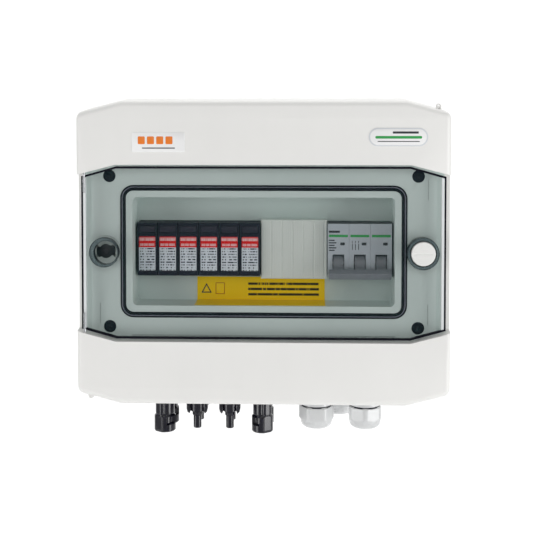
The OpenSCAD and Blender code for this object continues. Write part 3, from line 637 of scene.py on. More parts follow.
@dataclass
class Turned:
    """A closed surface of revolution, or one whose radius also changes with the angle.

    A row of the profile has radius r and height h. The point at angle a is (R cos a, R sin a, h),
    where R is what shape(a, h, r) gives, or r itself. A ring's last row joins its first.
    """

    profile: Sequence[Pair]
    segments: int = 64
    shape: Optional[Callable[[Array, Array, Array], Array]] = None
    ring: bool = False

    def mesh(self, name: str, axis: Axis, centre: Sequence[float]) -> bpy.types.Mesh:
        """Builds the mesh round an axis through a centre.

        Args:
            name: the mesh's name.
            axis: which way the profile's height points.
            centre: the profile's origin in millimetres.

        Returns:
            The mesh.
        """
        profile = np.asarray(self.profile, float)
        angle = np.linspace(0, 2 * np.pi, self.segments, endpoint=False)
        radius = np.repeat(profile[:, :1], self.segments, 1)
        height = np.repeat(profile[:, 1:], self.segments, 1)
        around = np.broadcast_to(angle, radius.shape)
        if self.shape is not None:
            radius = self.shape(around, height, radius)
        points = np.stack([radius * np.cos(around), radius * np.sin(around), height], -1)
        quads = grid_quads(len(profile), self.segments, self.ring, True).tolist()
        if not self.ring:
            last = (len(profile) - 1) * self.segments
            quads += [list(range(self.segments)), list(range(last, last + self.segments))]
        return mesh_from(name, stood(points, axis, centre), quads)


@dataclass
class Relief:
    """A block whose front is a relief over X and Z.

    The front lies at y = front + rim + depth(x, z). The rim's depth is a quarter circle of the edge
    radius, taken on the distance to the nearest side. The sides run straight back to the rear.
    """

    x: tuple[float, float]
    z: tuple[float, float]
    front: float
    rear: float
    edge: float = 0.6
    depth: Optional[Callable[[Array, Array], Array]] = None
    breaks_x: Sequence[float] = ()
    breaks_z: Sequence[float] = ()
    step: float = 3.0
    soft: float = 0.25

    def _ticks(self, low: float, high: float, breaks: Sequence[float]) -> Array:
        """Grid lines between two ends: even ones, some in the rim, and a pair at each break."""
        even = np.linspace(low, high, max(2, int((high - low) / self.step) + 1))
        turn = self.edge * (1 - np.cos(np.linspace(0, np.pi / 2, 5)))
        pairs = np.asarray(breaks, float).reshape(-1, 1) + np.array([-0.5, 0.5]) * self.soft
        ticks = np.concatenate([even, low + turn, high - turn, pairs.ravel()])
        return np.unique(np.round(ticks[(ticks >= low) & (ticks <= high)], 4))

    def mesh(self, name: str) -> bpy.types.Mesh:
        """Builds the closed mesh."""
        xs = self._ticks(*self.x, self.breaks_x)
        zs = self._ticks(*self.z, self.breaks_z)
        across, up = np.meshgrid(xs, zs)
        near_x = np.clip(1 - np.minimum(across - xs[0], xs[-1] - across) / self.edge, 0, 1)
        near_z = np.clip(1 - np.minimum(up - zs[0], zs[-1] - up) / self.edge, 0, 1)
        reach = np.minimum(1, np.hypot(near_x, near_z))
        y = self.front + self.edge * (1 - np.sqrt(1 - reach ** 2))
        if self.depth is not None:
            y = y + self.depth(across, up)
        front = np.stack([across, y, up], -1).reshape(-1, 3)
        rows, cols = across.shape
        number = np.arange(rows * cols).reshape(rows, cols)
        loop = np.concatenate([number[0, :-1], number[:-1, -1], number[-1, :0:-1], number[:0:-1, 0]])
        back = front[loop].copy()
        back[:, 1] = self.rear
        turn = np.roll(np.arange(len(loop)), -1)
        skirt = np.stack([loop, loop[turn], rows * cols + turn, rows * cols + np.arange(len(loop))], -1)
        faces = grid_quads(rows, cols, False, False).tolist() + skirt.tolist()
        faces.append((rows * cols + np.arange(len(loop))).tolist())
        return mesh_from(name, np.concatenate([front, back]), faces)


@dataclass
class Plate:
    """A flat outline in X and Z given a thickness along Y, with a small bevel all round."""

    outline: Array
    front: float
    rear: float
    edge: float = 0.3

    def mesh(self, name: str) -> bpy.types.Mesh:
        """Builds the closed mesh: four rings, the front one drawn in by the edge.

        Each ring's point is the outline's point moved towards the outline's middle by the inset, along
        the line to the middle.
        """
        outline = np.asarray(self.outline, float)
        middle = (outline.min(0) + outline.max(0)) / 2
        away = outline - middle
        unit = away / np.linalg.norm(away, axis=1, keepdims=True)
        insets = np.array([self.edge, 0.3 * self.edge, 0.0, 0.0])
        depths = np.array([self.front, self.front + 0.3 * self.edge, self.front + self.edge, self.rear])
        flat = outline[None] - unit[None] * insets[:, None, None]
        y = np.broadcast_to(depths[:, None], flat.shape[:2])
        points = np.stack([flat[..., 0], y, flat[..., 1]], -1)
        count = len(outline)
        faces = grid_quads(4, count, False, True).tolist()
        faces += [list(range(count)), list(range(3 * count, 4 * count))]
        return mesh_from(name, points, faces)


def rounded_outline(centre: Sequence[float], half_w: float, half_h: float, radius: float,
                    steps: int) -> Array:
    """Outline of a rectangle with round corners, as an array of X and Z.

    Each corner is a quarter circle round (half size - radius).
    """
    angle = np.linspace(0, np.pi / 2, steps)
    starts = np.arange(4) * np.pi / 2
    around = (starts[:, None] + angle[None]).ravel()
    signs = np.repeat([[1, 1], [-1, 1], [-1, -1], [1, -1]], steps, 0)
    core = signs * np.array([half_w - radius, half_h - radius])
    return core + radius * np.stack([np.cos(around), np.sin(around)], -1) + np.asarray(centre, float)


def circle_outline(centre: Sequence[float], radius: float, steps: int = 96) -> Array:
    """Outline of a circle, as an array of X and Z."""
    angle = np.linspace(0, 2 * np.pi, steps, endpoint=False)
    return radius * np.stack([np.cos(angle), np.sin(angle)], -1) + np.asarray(centre, float)


def drawn_in(outline: Array, insets: Array) -> Array:
    """Moves each side of a convex outline inwards by its own inset.

    Side i runs from point i to the next. Each new corner solves n . q = n . p - inset for the two
    sides that meet there, where n is a side's outward normal.

    Args:
        outline: the corners, counter-clockwise.
        insets: one distance per side.

    Returns:
        The new corners.
    """
    run = np.roll(outline, -1, 0) - outline
    normal = np.stack([run[:, 1], -run[:, 0]], -1) / np.linalg.norm(run, axis=1, keepdims=True)
    reach = (normal * outline).sum(1) - insets
    pair = np.stack([np.roll(normal, 1, 0), normal], 1)
    return np.linalg.solve(pair, np.stack([np.roll(reach, 1), reach], 1)[..., None])[..., 0]


def flat_ring(name: str, outer: Array, inner: Array, front: float, rear: float) -> bpy.types.Mesh:
    """A flat closed ring between two outlines with as many corners, from a front to a rear depth."""
    rings = [(outer, front), (inner, front), (inner, rear), (outer, rear)]
    points = np.stack([np.stack([flat[:, 0], np.full(len(flat), y), flat[:, 1]], -1) for flat, y in rings])
    return mesh_from(name, points, grid_quads(4, len(outer), True, True).tolist())


def flat_piece(name: str, outline: Array, depths: Pair, edge: float, finish: object, body: str) -> bpy.types.Object:
    """A flat piece: a label, plate or print.

    Args:
        name: the piece's name.
        outline: its outline in X and Z.
        depths: its front and its rear.
        edge: its bevel.
        finish: its finish.
        body: the body that it rides on.

    Returns:
        The piece.
    """
    return finish_piece(name, Plate(outline, *depths, edge).mesh(name), finish, body, 50)


def step_up(value: Array, at: float, soft: float = 0.25) -> Array:
    """0 below a place and 1 above it, with a short ramp of the given length."""
    return np.clip((value - at) / soft + 0.5, 0, 1)


def within(value: Array, low: float, high: float, soft: float = 0.25) -> Array:
    """1 between two places and 0 outside them, with short ramps."""
    return step_up(value, low, soft) * (1 - step_up(value, high, soft))


def soften(node: str, name: str, finish: object, body: str, width: float) -> None:
    """Replaces a CAD node by a merged copy with small round edges.

    Args:
        node: the CAD node.
        name: the piece's name.
        finish: its finish.
        body: its body.
        width: the bevel's width in millimetres.
    """
    mesh = frame["nodes"][node].data.copy()
    mesh.materials.clear()
    mesh.transform(frame["nodes"][node].matrix_world)
    work = bmesh.new()
    work.from_mesh(mesh)
    bmesh.ops.remove_doubles(work, verts=work.verts, dist=MERGE_M)
    bmesh.ops.dissolve_limit(work, angle_limit=math.radians(FLAT_DEG), verts=work.verts, edges=work.edges)
    work.to_mesh(mesh)
    work.free()
    if mesh.has_custom_normals:
        mesh.normals_split_custom_set([(0, 0, 0)] * len(mesh.loops))
    piece = show(name, mesh, finish, body, BEVEL_DEG)
    bevel = piece.modifiers.new("edges", "BEVEL")
    bevel.width = width * MM
    bevel.segments = 2
    bevel.limit_method = "ANGLE"
    bevel.angle_limit = math.radians(BEVEL_DEG)
    bevel.harden_normals = True
    bevel.use_clamp_overlap = True
    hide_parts(node)


def dress(nodes: Sequence[str], finish: object) -> None:
    """Gives CAD nodes a finish, and leaves their meshes alone."""
    for node in nodes:
        data = frame["nodes"][node].data
        data.materials.clear()
        data.materials.append(made(finish))
    LOG.info("dressed %s in %s", ", ".join(nodes), finish.name)


def span(node: str) -> tuple[Vector, Vector]:
    """A CAD node's lowest and highest corners in millimetres."""
    low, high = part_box(node)
    return low / MM, high / MM


# ---------------------------------------------------------------- sub-assemblies
@dataclass
class Housing:
    """The back box and the front cover, with seals, screws and plates."""

    edge: float = 0.45
    outer_lip: float = 0.85
    inner_lip: float = 1.35
    seal_width: float = 4.8
    seal_radius: float = 11.0
    cap_radius: float = 5.25
    eyelet_place: tuple[float, float, float] = (144.5, -130.5, 121.4)
    eyelet_radius: float = 1.75
    eyelet_reach: Pair = (0.55, 0.9)
    witness_place: Pair = (136.8, 52.0)
    witness_half: Pair = (0.2, 8.5)
    witness_depths: Pair = (-128.12, -127.5)
    left_plate: Pair = (-85.6, 91.8)
    right_plate: Pair = (110.6, 96.2)

    def build(self) -> None:
        """Builds all the housing's pieces."""
        soften("back_box", "back_box_shell", HOUSING, "enclosure", self.edge)
        soften("front_cover", "front_cover_shell", COVER, "enclosure", 2 * self.edge)
        self._window_seal()
        self._screw_caps()
        self._eyelets()
        self._mould_lines()
        dress(["cover_seal"], SEAL)
        dress(["cover_screws", "hinge_pins"], STEEL)
        self._plates()

    def _window_seal(self) -> None:
        """The seal: two round lips with a pale tube of painted highlight between them, carried along a round
        rectangle.

        A point of the ring at path place p and profile (a, b) lies at p plus a times the outward
        normal, at depth b.
        """
        low, high = span("window_seal")
        half = (np.array([high.x, high.z]) - np.array([low.x, low.z])) / 2 - self.seal_width / 2
        path = rounded_outline((0, 0), *half, self.seal_radius - self.seal_width / 2, 14)
        before, after = np.roll(path, 1, 0), np.roll(path, -1, 0)
        run = after - before
        normal = np.stack([run[:, 1], -run[:, 0]], -1) / np.linalg.norm(run, axis=1, keepdims=True)
        angle = np.linspace(0, 2 * np.pi, 14, endpoint=False)
        half_width = self.seal_width / 2
        depth = high.y - low.y
        lips = [("window_seal_outer", half_width - self.outer_lip, self.outer_lip, SEAL, 1.0),
                ("window_seal_inner", self.inner_lip - half_width, self.inner_lip, SEAL, 1.0),
                # The third tube is a painted highlight, the light caught in the channel between the lips.
                ("window_seal_highlight", half_width - 2 * self.outer_lip, 0.5, SEAL_HIGHLIGHT, 0.9)]
        for name, middle, reach, finish, rise in lips:
            a = middle + reach * np.cos(angle)
            b = high.y - depth * rise * (0.5 + 0.5 * np.sin(angle))
            flat = path[:, None] + normal[:, None] * a[None, :, None]
            y = np.broadcast_to(b, flat.shape[:2])
            points = np.stack([flat[..., 0], y, flat[..., 1]], -1)
            faces = grid_quads(*flat.shape[:2], True, True).tolist()
            piece = finish_piece(name, mesh_from(name, points, faces), finish, "enclosure", 60)
            if name == "window_seal_outer":
                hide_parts("window_seal")
        LOG.info("window seal built")

    def _screw_caps(self) -> None:
        """Four black caps, each a shallow dome with a raised rim and a turned groove."""
        low, high = span("screw_caps")
        radius = self.cap_radius
        x, z = high.x - radius, high.z - radius
        profile = [(0.01, 0.25), (1.4, 0.2), (1.7, 0.0), (2.1, 0.0), (2.4, 0.2), (4.0, 0.1), (4.6, 0.0),
                   (5.0, -0.1), (radius, -0.35), (radius, -1.6), (4.7, -1.65), (4.7, -4.5), (0.01, -4.5)]
        for number, (sx, sz) in enumerate([(-1, 1), (1, 1), (-1, -1), (1, -1)], 1):
            name = f"screw_cap_{number}"
            mesh = Turned(profile, 40).mesh(name, Axis.FRONT, (sx * x, low.y, sz * z))
            piece = finish_piece(name, mesh, CAP, "enclosure", 50)
            if number == 1:
                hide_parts("screw_caps")
        LOG.info("screw caps built")

    def _eyelets(self) -> None:
        """Two small rings for a lead seal, on opposite corners.

        Each is a tube of small radius carried round a circle, given as a closed profile.
        """
        angle = np.linspace(0, 2 * np.pi, 16, endpoint=False)
        across, along = self.eyelet_reach
        profile = list(zip(self.eyelet_radius + across * np.cos(angle), along * np.sin(angle)))
        x, y, z = self.eyelet_place
        for side in reversed(Side):
            name = f"seal_eyelet_{side.word}"
            centre = (side.value * x, y, side.value * z)
            mesh = Turned(profile, 32, ring=True).mesh(name, Axis.FRONT, centre)
            finish_piece(name, mesh, HOUSING, "enclosure", 60)

    def _mould_lines(self) -> None:
        """Three faint upright witness lines on the flange, beside the screw caps."""
        half_x, half_z = self.witness_half
        for number, (across, up) in enumerate([(1, 1), (1, -1), (-1, -1)], 1):
            x, z = across * self.witness_place[0], up * self.witness_place[1]
            line = Relief((x - half_x, x + half_x), (z - half_z, z + half_z), *self.witness_depths, 0.1)
            finish_piece(f"witness_line_{number}", line.mesh("line"), WITNESS, "enclosure", 30)

    def _plates(self) -> None:
        """The two plates on the upper band, with plain bars and no lettering.

        Each flat shape is given by its name, middle, half width, half height, corner radius, points in
        a corner, how far it stands proud, and finish.
        """
        low, high = span("badges")
        left, right = self.left_plate, self.right_plate
        shapes = [("left", left, 21.8, 8.1, 0.8, 4, 0.0, WHITE_PLATE),
                  ("right", right, 24.1, 7.5, 7.4, 10, 0.0, SILVER_PLATE),
                  ("right_field", right, 22.9, 6.4, 6.3, 10, 0.03, WHITE_PLATE),
                  ("right_bar", (110.8, 96.0), 19.0, 1.1, 1.0, 4, 0.06, GREEN),
                  ("right_line", (116.5, 99.9), 10.5, 0.9, 0.4, 4, 0.06, DARK_PRINT),
                  ("right_foot", (110.8, 92.6), 17.0, 0.35, 0.2, 4, 0.06, DARK_PRINT),
                  ("left_foot", (-85.4, 87.0), 13.5, 0.45, 0.3, 4, 0.06, DARK_PRINT)]
        shapes += [(f"left_bar_{n}", (-99.5 + 7.6 * n, 93.4), 2.9, 3.2, 0.8, 4, 0.06, ORANGE)
                   for n in range(4)]
        for label, middle, half_w, half_h, radius, steps, proud, finish in shapes:
            outline = rounded_outline(middle, half_w, half_h, radius, steps)
            piece = flat_piece(f"plate_{label}", outline, (low.y - proud, high.y), 0.02 if proud else 0.1,
                               finish, "enclosure")
            if label == "left":
                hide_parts("badges")
        LOG.info("plates built")


@dataclass
class Door:
    """The clear door and the quarter-turn latch."""

    knob_rim: float = 1.0
    flat_half: float = 121.5
    slope_deg: float = 14.5
    end_gap: float = 0.6
    edge_line: float = 1.8
    side_line: float = 1.4
    rim_highlight_width: float = 2.5
    latch_x: float = 132.0
    insert_turn: float = 0.14
    hinge_depth: float = 0.2
    well_width: float = 1.9
    well_line: float = 0.35
    left_well: Pair = (12.0, 1.5)
    right_well: Pair = (12.9, 0.0)
    insert_depths: Pair = (-127.4, -125.0)
    insert_radius: float = 5.9
    insert_wing: float = 2.0
    knob_face: float = 6.2
    knob_shaft: float = 3.4
    groove_depth: float = 0.45
    groove_half: float = 0.55

    def face(self) -> float:
        """Where the sheet's front lies, in millimetres: the hinge axis sits just behind it."""
        joints = frame["record"]["behaviour"]["joints"]
        hinge = next(joint for joint in joints if joint["name"] == "door_hinge")
        return hinge["pos_m"][1] / MM - self.hinge_depth

    def build(self) -> None:
        """Builds the door and the latch."""
        soften("door_panel", "door_sheet", CLEAR, "door", 0.4)
        self._edges()
        self._wells()
        self._knob()
        dress(["latch_cam"], CAP)
        dress(["latch_clip"], STEEL)

    def _edges(self) -> None:
        """The door's polished edges in painted light: a dark line of painted shade all round, and a bright rim of
        painted highlight inside it at both sides.
        """
        low, high = span("door_panel")
        half_w, half_h = (high.x - low.x) / 2, (high.z - low.z) / 2
        end = half_h - (half_w - self.flat_half) * math.tan(math.radians(self.slope_deg)) - self.end_gap
        corner = np.array([[half_w, end], [self.flat_half, half_h]])
        outline = np.concatenate([corner, corner[::-1] * [-1, 1], -corner, corner[::-1] * [1, -1]])
        insets = np.where(np.arange(len(outline)) % 4 == 3, self.side_line, self.edge_line)
        outer = drawn_in(outline, np.full(len(outline), 0.05))
        front = self.face()
        # Painted shade: a dark flat ring for the door's edge seen on end and the shadowed gap beside it.
        ring = flat_ring("door_edge_shade", outer, drawn_in(outline, insets), front - 0.03, front + 2.6)
        finish_piece("door_edge_shade", ring, DOOR_EDGE_SHADE, "door", 30)
        # Painted highlight: a bright strip for the light caught by each round side edge.
        for side in Side:
            reach = half_w - self.side_line
            x = sorted((side.value * (reach - self.rim_highlight_width), side.value * reach))
            rim = Relief(tuple(x), (-end + 0.6, end - 0.6), front - 0.02, front + 1.6, 0.5)
            finish_piece(f"door_rim_{side.word}", rim.mesh("rim"), DOOR_RIM_HIGHLIGHT, "door", 30)
        LOG.info("door edges built")

    def _wells(self) -> None:
        """Painted shade on the two latch wells, as dark rings with darker edge lines, and the dark insert in the
        left keyhole.

        Each well is given by its outer radius and how far its inner edge is shifted to the right; the shift widens
        the left well's painted shade on its left, where the wall is in shadow. The insert's outline is a circle,
        widened along X where the angle's cosine is large.
        """
        front = self.face()
        for side, (radius, shift) in ((Side.LEFT, self.left_well), (Side.RIGHT, self.right_well)):
            x = side.value * self.latch_x
            inside = radius - self.well_width
            far = circle_outline((x, 0), radius)
            far_line = circle_outline((x, 0), radius + self.well_line)
            near = circle_outline((x + shift, 0), inside)
            near_line = circle_outline((x + shift, 0), inside - self.well_line)
            # Painted shade: a dark ring and two dark edge lines stand for each well wall and its shadow.
            for label, rim, hole, finish in (("body", far, near, WELL_RING_SHADE),
                                             ("outer", far_line, far, WELL_LINE_SHADE),
                                             ("inner", near, near_line, WELL_LINE_SHADE)):
                name = f"well_ring_{side.word}_{label}"
                ring = flat_ring(name, rim, hole, front - 0.02, front + 6.0)
                finish_piece(name, ring, finish, "door", 30)
        angle = np.linspace(0, 2 * np.pi, 96, endpoint=False)
        wing = step_up(np.abs(np.cos(angle - self.insert_turn)), 0.80, 0.08)
        radius = self.insert_radius + self.insert_wing * wing
        outline = np.stack([radius * np.cos(angle), radius * np.sin(angle)], -1) + [-self.latch_x, 0]
        plate = Plate(outline, *self.insert_depths, 0.3).mesh("insert")
        finish_piece("keyhole_insert", plate, INSERT, "enclosure", 30)
        rows = [(0.01, 0.5), (1.2, 0.5), (1.5, 0.9), (2.4, 0.9), (2.9, 0.5), (3.2, -0.6), (0.01, -0.6)]
        hub = Turned(rows, 40).mesh("hub", Axis.FRONT, (-self.latch_x, self.insert_depths[0], 0))
        finish_piece("keyhole_hub", hub, INSERT, "enclosure", 40)

    def _knob(self) -> None:
        """The white knob: a disc with a round rim and a shallow groove across its face.

        The groove's depth is a bell over the height, times a fade towards the rim.
        """
        low, high = span("latch_knob")
        radius = (high.x - low.x) / 2
        centre = ((low.x + high.x) / 2, low.y, 0)
        rim, back = self.knob_rim, high.y - low.y
        turn = np.linspace(0, np.pi / 2, 7)
        rows = [(r, 0.0) for r in np.linspace(0.01, radius - rim, 14)]
        rows += list(zip(radius - rim + rim * np.sin(turn[1:]), rim * (np.cos(turn[1:]) - 1)))
        rows += [(radius, -self.knob_face), (self.knob_shaft, -self.knob_face - 0.6),
                 (self.knob_shaft, -back), (0.01, -back)]
        mesh = Turned(rows, 72).mesh("latch_knob_cap", Axis.FRONT, centre)
        points = np.empty(len(mesh.vertices) * 3)
        mesh.vertices.foreach_get("co", points)
        points = points.reshape(-1, 3)
        up = points[:, 2] / MM
        away = np.hypot(points[:, 0] / MM - centre[0], up)
        on_face = (points[:, 1] / MM < low.y + 0.3) & (away < radius - rim)
        fade = np.clip((radius - rim - away) / 1.2, 0, 1)
        groove = self.groove_depth * np.exp(-(up / self.groove_half) ** 2) * fade
        points[:, 1] += np.where(on_face, groove, 0) * MM
        mesh.vertices.foreach_set("co", points.ravel())
        piece = finish_piece("latch_knob_cap", mesh, KNOB, "latch", 50)
        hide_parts("latch_knob")
        LOG.info("knob built")


@dataclass
class Arresters:
    """Six plug-in arresters on their two bases."""

    count: int = 6
    label_low: float = -18.3
    label_high: float = 10.7
    label_split: float = 1.6
    label_half: float = 7.0
    seat_gap: float = 0.3
    seat_depth: float = 0.15
    grip_low: float = 14.0
    grip_high: float = 19.9
    grip_depth: float = 0.7

    def build(self) -> None:
        """Builds the plugs, and dresses the bases and blades."""
        first, _ = span("spd_plug_1")
        second, _ = span("spd_plug_2")
        pitch = second.x - first.x
        print_finish = ArresterLabel("arrester label", (first.x - 0.15) * MM, pitch * MM,
                                     self.label_split * MM)
        for number in range(1, self.count + 1):
            self._plug(number, print_finish)
        for side in Side:
            soften(f"spd_base_{side.word}", f"arrester_base_{side.word}", ARRESTER, "enclosure",
                   0.3)
        dress([f"spd_blades_{number}" for number in range(1, self.count + 1)], TIN)

    def _plug(self, number: int, print_finish: ArresterLabel) -> None:
        """One plug: a relief block with a grip recess, its glossy window and its label."""
        low, high = span(f"spd_plug_{number}")
        middle = (low.x + high.x) / 2
        grip_x = (middle - self.label_half, middle + self.label_half)
        seat_x = (grip_x[0] - self.seat_gap, grip_x[1] + self.seat_gap)
        seat_z = (self.label_low - self.seat_gap, self.label_high + self.seat_gap)

        def depth(x: Array, z: Array) -> Array:
            """Depth of the grip recess and of the label's seat."""
            grip = self.grip_depth * within(x, *grip_x) * within(z, self.grip_low, self.grip_high)
            return grip + self.seat_depth * within(x, *seat_x) * within(z, *seat_z)

        name = f"arrester_plug_{number}"
        block = Relief((low.x, high.x), (low.z, high.z), low.y, high.y, 0.7, depth,
                       (seat_x[0], *grip_x, seat_x[1]), (*seat_z, self.grip_low, self.grip_high))
        body = f"plug_{number}"
        piece = finish_piece(name, block.mesh(name), ARRESTER, body, 35)
        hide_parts(f"spd_plug_{number}")
        window = rounded_outline((middle, (self.grip_low + self.grip_high) / 2), 6.7, 2.6, 0.5, 4)
        flat_piece(f"arrester_grip_{number}", window, (low.y + 0.35, low.y + 1.0), 0.2, GRIP, body)
        half = (self.label_high - self.label_low) / 2
        label = rounded_outline((middle, self.label_low + half), self.label_half, half, 0.9, 5)
        flat_piece(f"arrester_label_{number}", label, (low.y + 0.02, low.y + 0.3), 0.05, print_finish, body)


@dataclass
class Breaker:
    """The three-pole breaker: poles, prints, levers and the bar that ties them."""

    poles: int = 3
    nose_height: float = 45.2

    def build(self) -> None:
        """Builds and dresses the breaker."""
        for number in range(1, self.poles + 1):
            soften(f"mcb_pole_{number}", f"breaker_pole_{number}", BREAKER, "enclosure", 0.3)
            self._prints(number)
        soften("mcb_levers", "breaker_levers", LEVER_BASE, "toggle", 0.5)
        soften("mcb_tie_bar", "breaker_tie_bar", LEVER, "toggle", 0.7)
        self._shade_sides()
        dress(["mcb_pivot"], STEEL)

    def _prints(self, number: int) -> None:
        """The flat prints on one pole: a green stripe, a dark window and a few plain marks.

        Each is given by its name, its middle past the pole's middle, half width, half height, corner
        radius and finish.
        """
        low, high = span(f"mcb_pole_{number}")
        middle = (low.x + high.x) / 2
        marks = [("stripe", 0.0, 12.35, 7.9, 1.05, 0.15, GREEN),
                 ("window", 3.4, 5.6, 1.9, 1.15, 0.5, DARK_PRINT)]
        if number == 1:
            marks += [("head", -3.4, 15.9, 4.6, 0.9, 0.3, DARK_PRINT)]
            marks += [(f"line_{n}", -5.6 + 0.7 * (n % 2), 8.6 - 2.1 * n, 2.4 + 0.8 * (n % 2), 0.5, 0.2,
                       DARK_PRINT) for n in range(5)]
        if number == 2:
            for label, z, half_h in (("contact", 3.2, 2.6), ("foot", 7.4, 0.8)):
                marks += [(f"{label}_{n}", -6.3 + 2.6 * n, z, 0.28, half_h, 0.1, DARK_PRINT)
                          for n in range(3)]
        for label, x, z, half_w, half_h, radius, finish in marks:
            outline = rounded_outline((middle + x, z), half_w, half_h, radius, 3)
            flat_piece(f"breaker_{number}_{label}", outline, (low.y - 0.04, low.y + 0.1), 0.02, finish,
                       "enclosure")

    def _shade_sides(self) -> None:
        """Painted shade: a dark film over the noses' tops, which lie in shadow, and a dark plate at their right for
        the shadowed gap there.
        """
        first, _ = span("mcb_pole_1")
        _, last = span(f"mcb_pole_{self.poles}")
        face = first.y
        nose = self.nose_height / 2
        top = Relief((first.x + 0.3, last.x - 0.3), (nose, nose + 0.12), face + 0.3, face + 18.0, 0.04)
        finish_piece("breaker_top_shade", top.mesh("film"), BREAKER_SHADE, "enclosure", 30)
        end = Relief((last.x + 0.1, last.x + 1.3), (-nose, nose), face + 2.5, face + 18.2, 0.3)
        finish_piece("breaker_end_shade", end.mesh("end"), BREAKER_SHADE, "enclosure", 30)


@dataclass
class Interior:
    """What lies behind the mask, and the strip and label on it."""

    rib_pitch: float = 1.5
    rib_depth: float = 0.16
    groove_pitch: float = 9.0
    groove_depth: float = 0.7
    groove_half: float = 0.35
    wall_z: Pair = (23.8, 25.0)
    film: float = 0.25
    sign_middle: Pair = (-38.2, -35.6)

    def build(self) -> None:
        """Builds and dresses the inner pieces."""
        self._strip()
        soften("din_rail", "din_rail_hat", STEEL, "enclosure", 0.2)
        dress(["rail_screws", "terminal_screws"], STEEL)
        dress(["earth_bar"], BRASS)
        dress(["dc_leads_red"], RED_SHEATH)
        dress(["dc_leads_black"], BLACK_SHEATH)
        dress(["earth_lead"], GREEN_SHEATH)
        dress([f"rail_clip_{number}" for number in range(1, 6)], CAP)
        self._label()

    def _strip(self) -> None:
        """The blanking strip: a face with fine upright ribs between snap lines.

        The relief is the sum of a fine wave across and a deeper narrow groove at even places.
        """
        low, high = span("blank_strip")

        def depth(x: Array, z: Array) -> Array:
            """Depth of the ribs and grooves."""
            along, half = x - low.x, self.groove_pitch / 2
            wave = self.rib_depth * (0.5 - 0.5 * np.cos(2 * np.pi * along / self.rib_pitch))
            away = (along + half) % self.groove_pitch - half
            groove = self.groove_depth * np.exp(-(away / self.groove_half) ** 2)
            return (wave + groove) * within(z, low.z + 1, high.z - 1, 0.6)

        face = Relief((low.x, high.x), (low.z, high.z), low.y, low.y + 2.2, 0.9, depth, step=0.375)
        piece = finish_piece("blank_strip_face", face.mesh("blank_strip_face"), STRIP, "enclosure",
                             60)
        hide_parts("blank_strip")
        mask_y = span("warning_label")[1].y
        for sign, name in ((1, "upper"), (-1, "lower")):
            z = sorted(sign * edge for edge in self.wall_z)
            wall = Relief((low.x + 0.1, high.x - 0.1), tuple(z), low.y + 1.8, mask_y - 0.35, 0.2)
            finish_piece(f"blank_strip_{name}", wall.mesh("wall"), STRIP, "enclosure", 40)
        LOG.info("blanking strip built")

    def _label(self) -> None:
        """The yellow label: plain print rows, and an empty triangle and frame."""
        _, high = span("warning_label")
        yellow = PrintedFilm("yellow film", (1.0, 0.70, 0.003), (0.05, 0.04, 0.01),
                             (-14.0, 47.0, -43.0, -28.5), 4.6, 0.36)
        dress(["warning_label"], yellow)
        front = high.y - self.film
        triangle = np.array([[-54.5, -39.5], [-45.5, -39.5], [-50.0, -31.0]])
        hole = triangle.mean(0) + (triangle - triangle.mean(0)) * 0.66
        frame_outer = rounded_outline(self.sign_middle, 4.0, 5.0, 0.4, 3)
        frame_inner = rounded_outline(self.sign_middle, 3.4, 4.4, 0.2, 3)
        orange = PrintedFilm("orange ink", (0.45, 0.12, 0.01), (0.45, 0.12, 0.01), (0, 0, 0, 0), 2.0)
        for name, outline, proud, finish in (("triangle", triangle, 0.03, DARK_PRINT),
                                             ("triangle_field", hole, 0.05, yellow),
                                             ("frame", frame_outer, 0.03, orange),
                                             ("frame_field", frame_inner, 0.05, yellow)):
            flat_piece(f"label_{name}", outline, (front - proud, front + 0.05), 0.01, finish, "enclosure")
        LOG.info("label built")


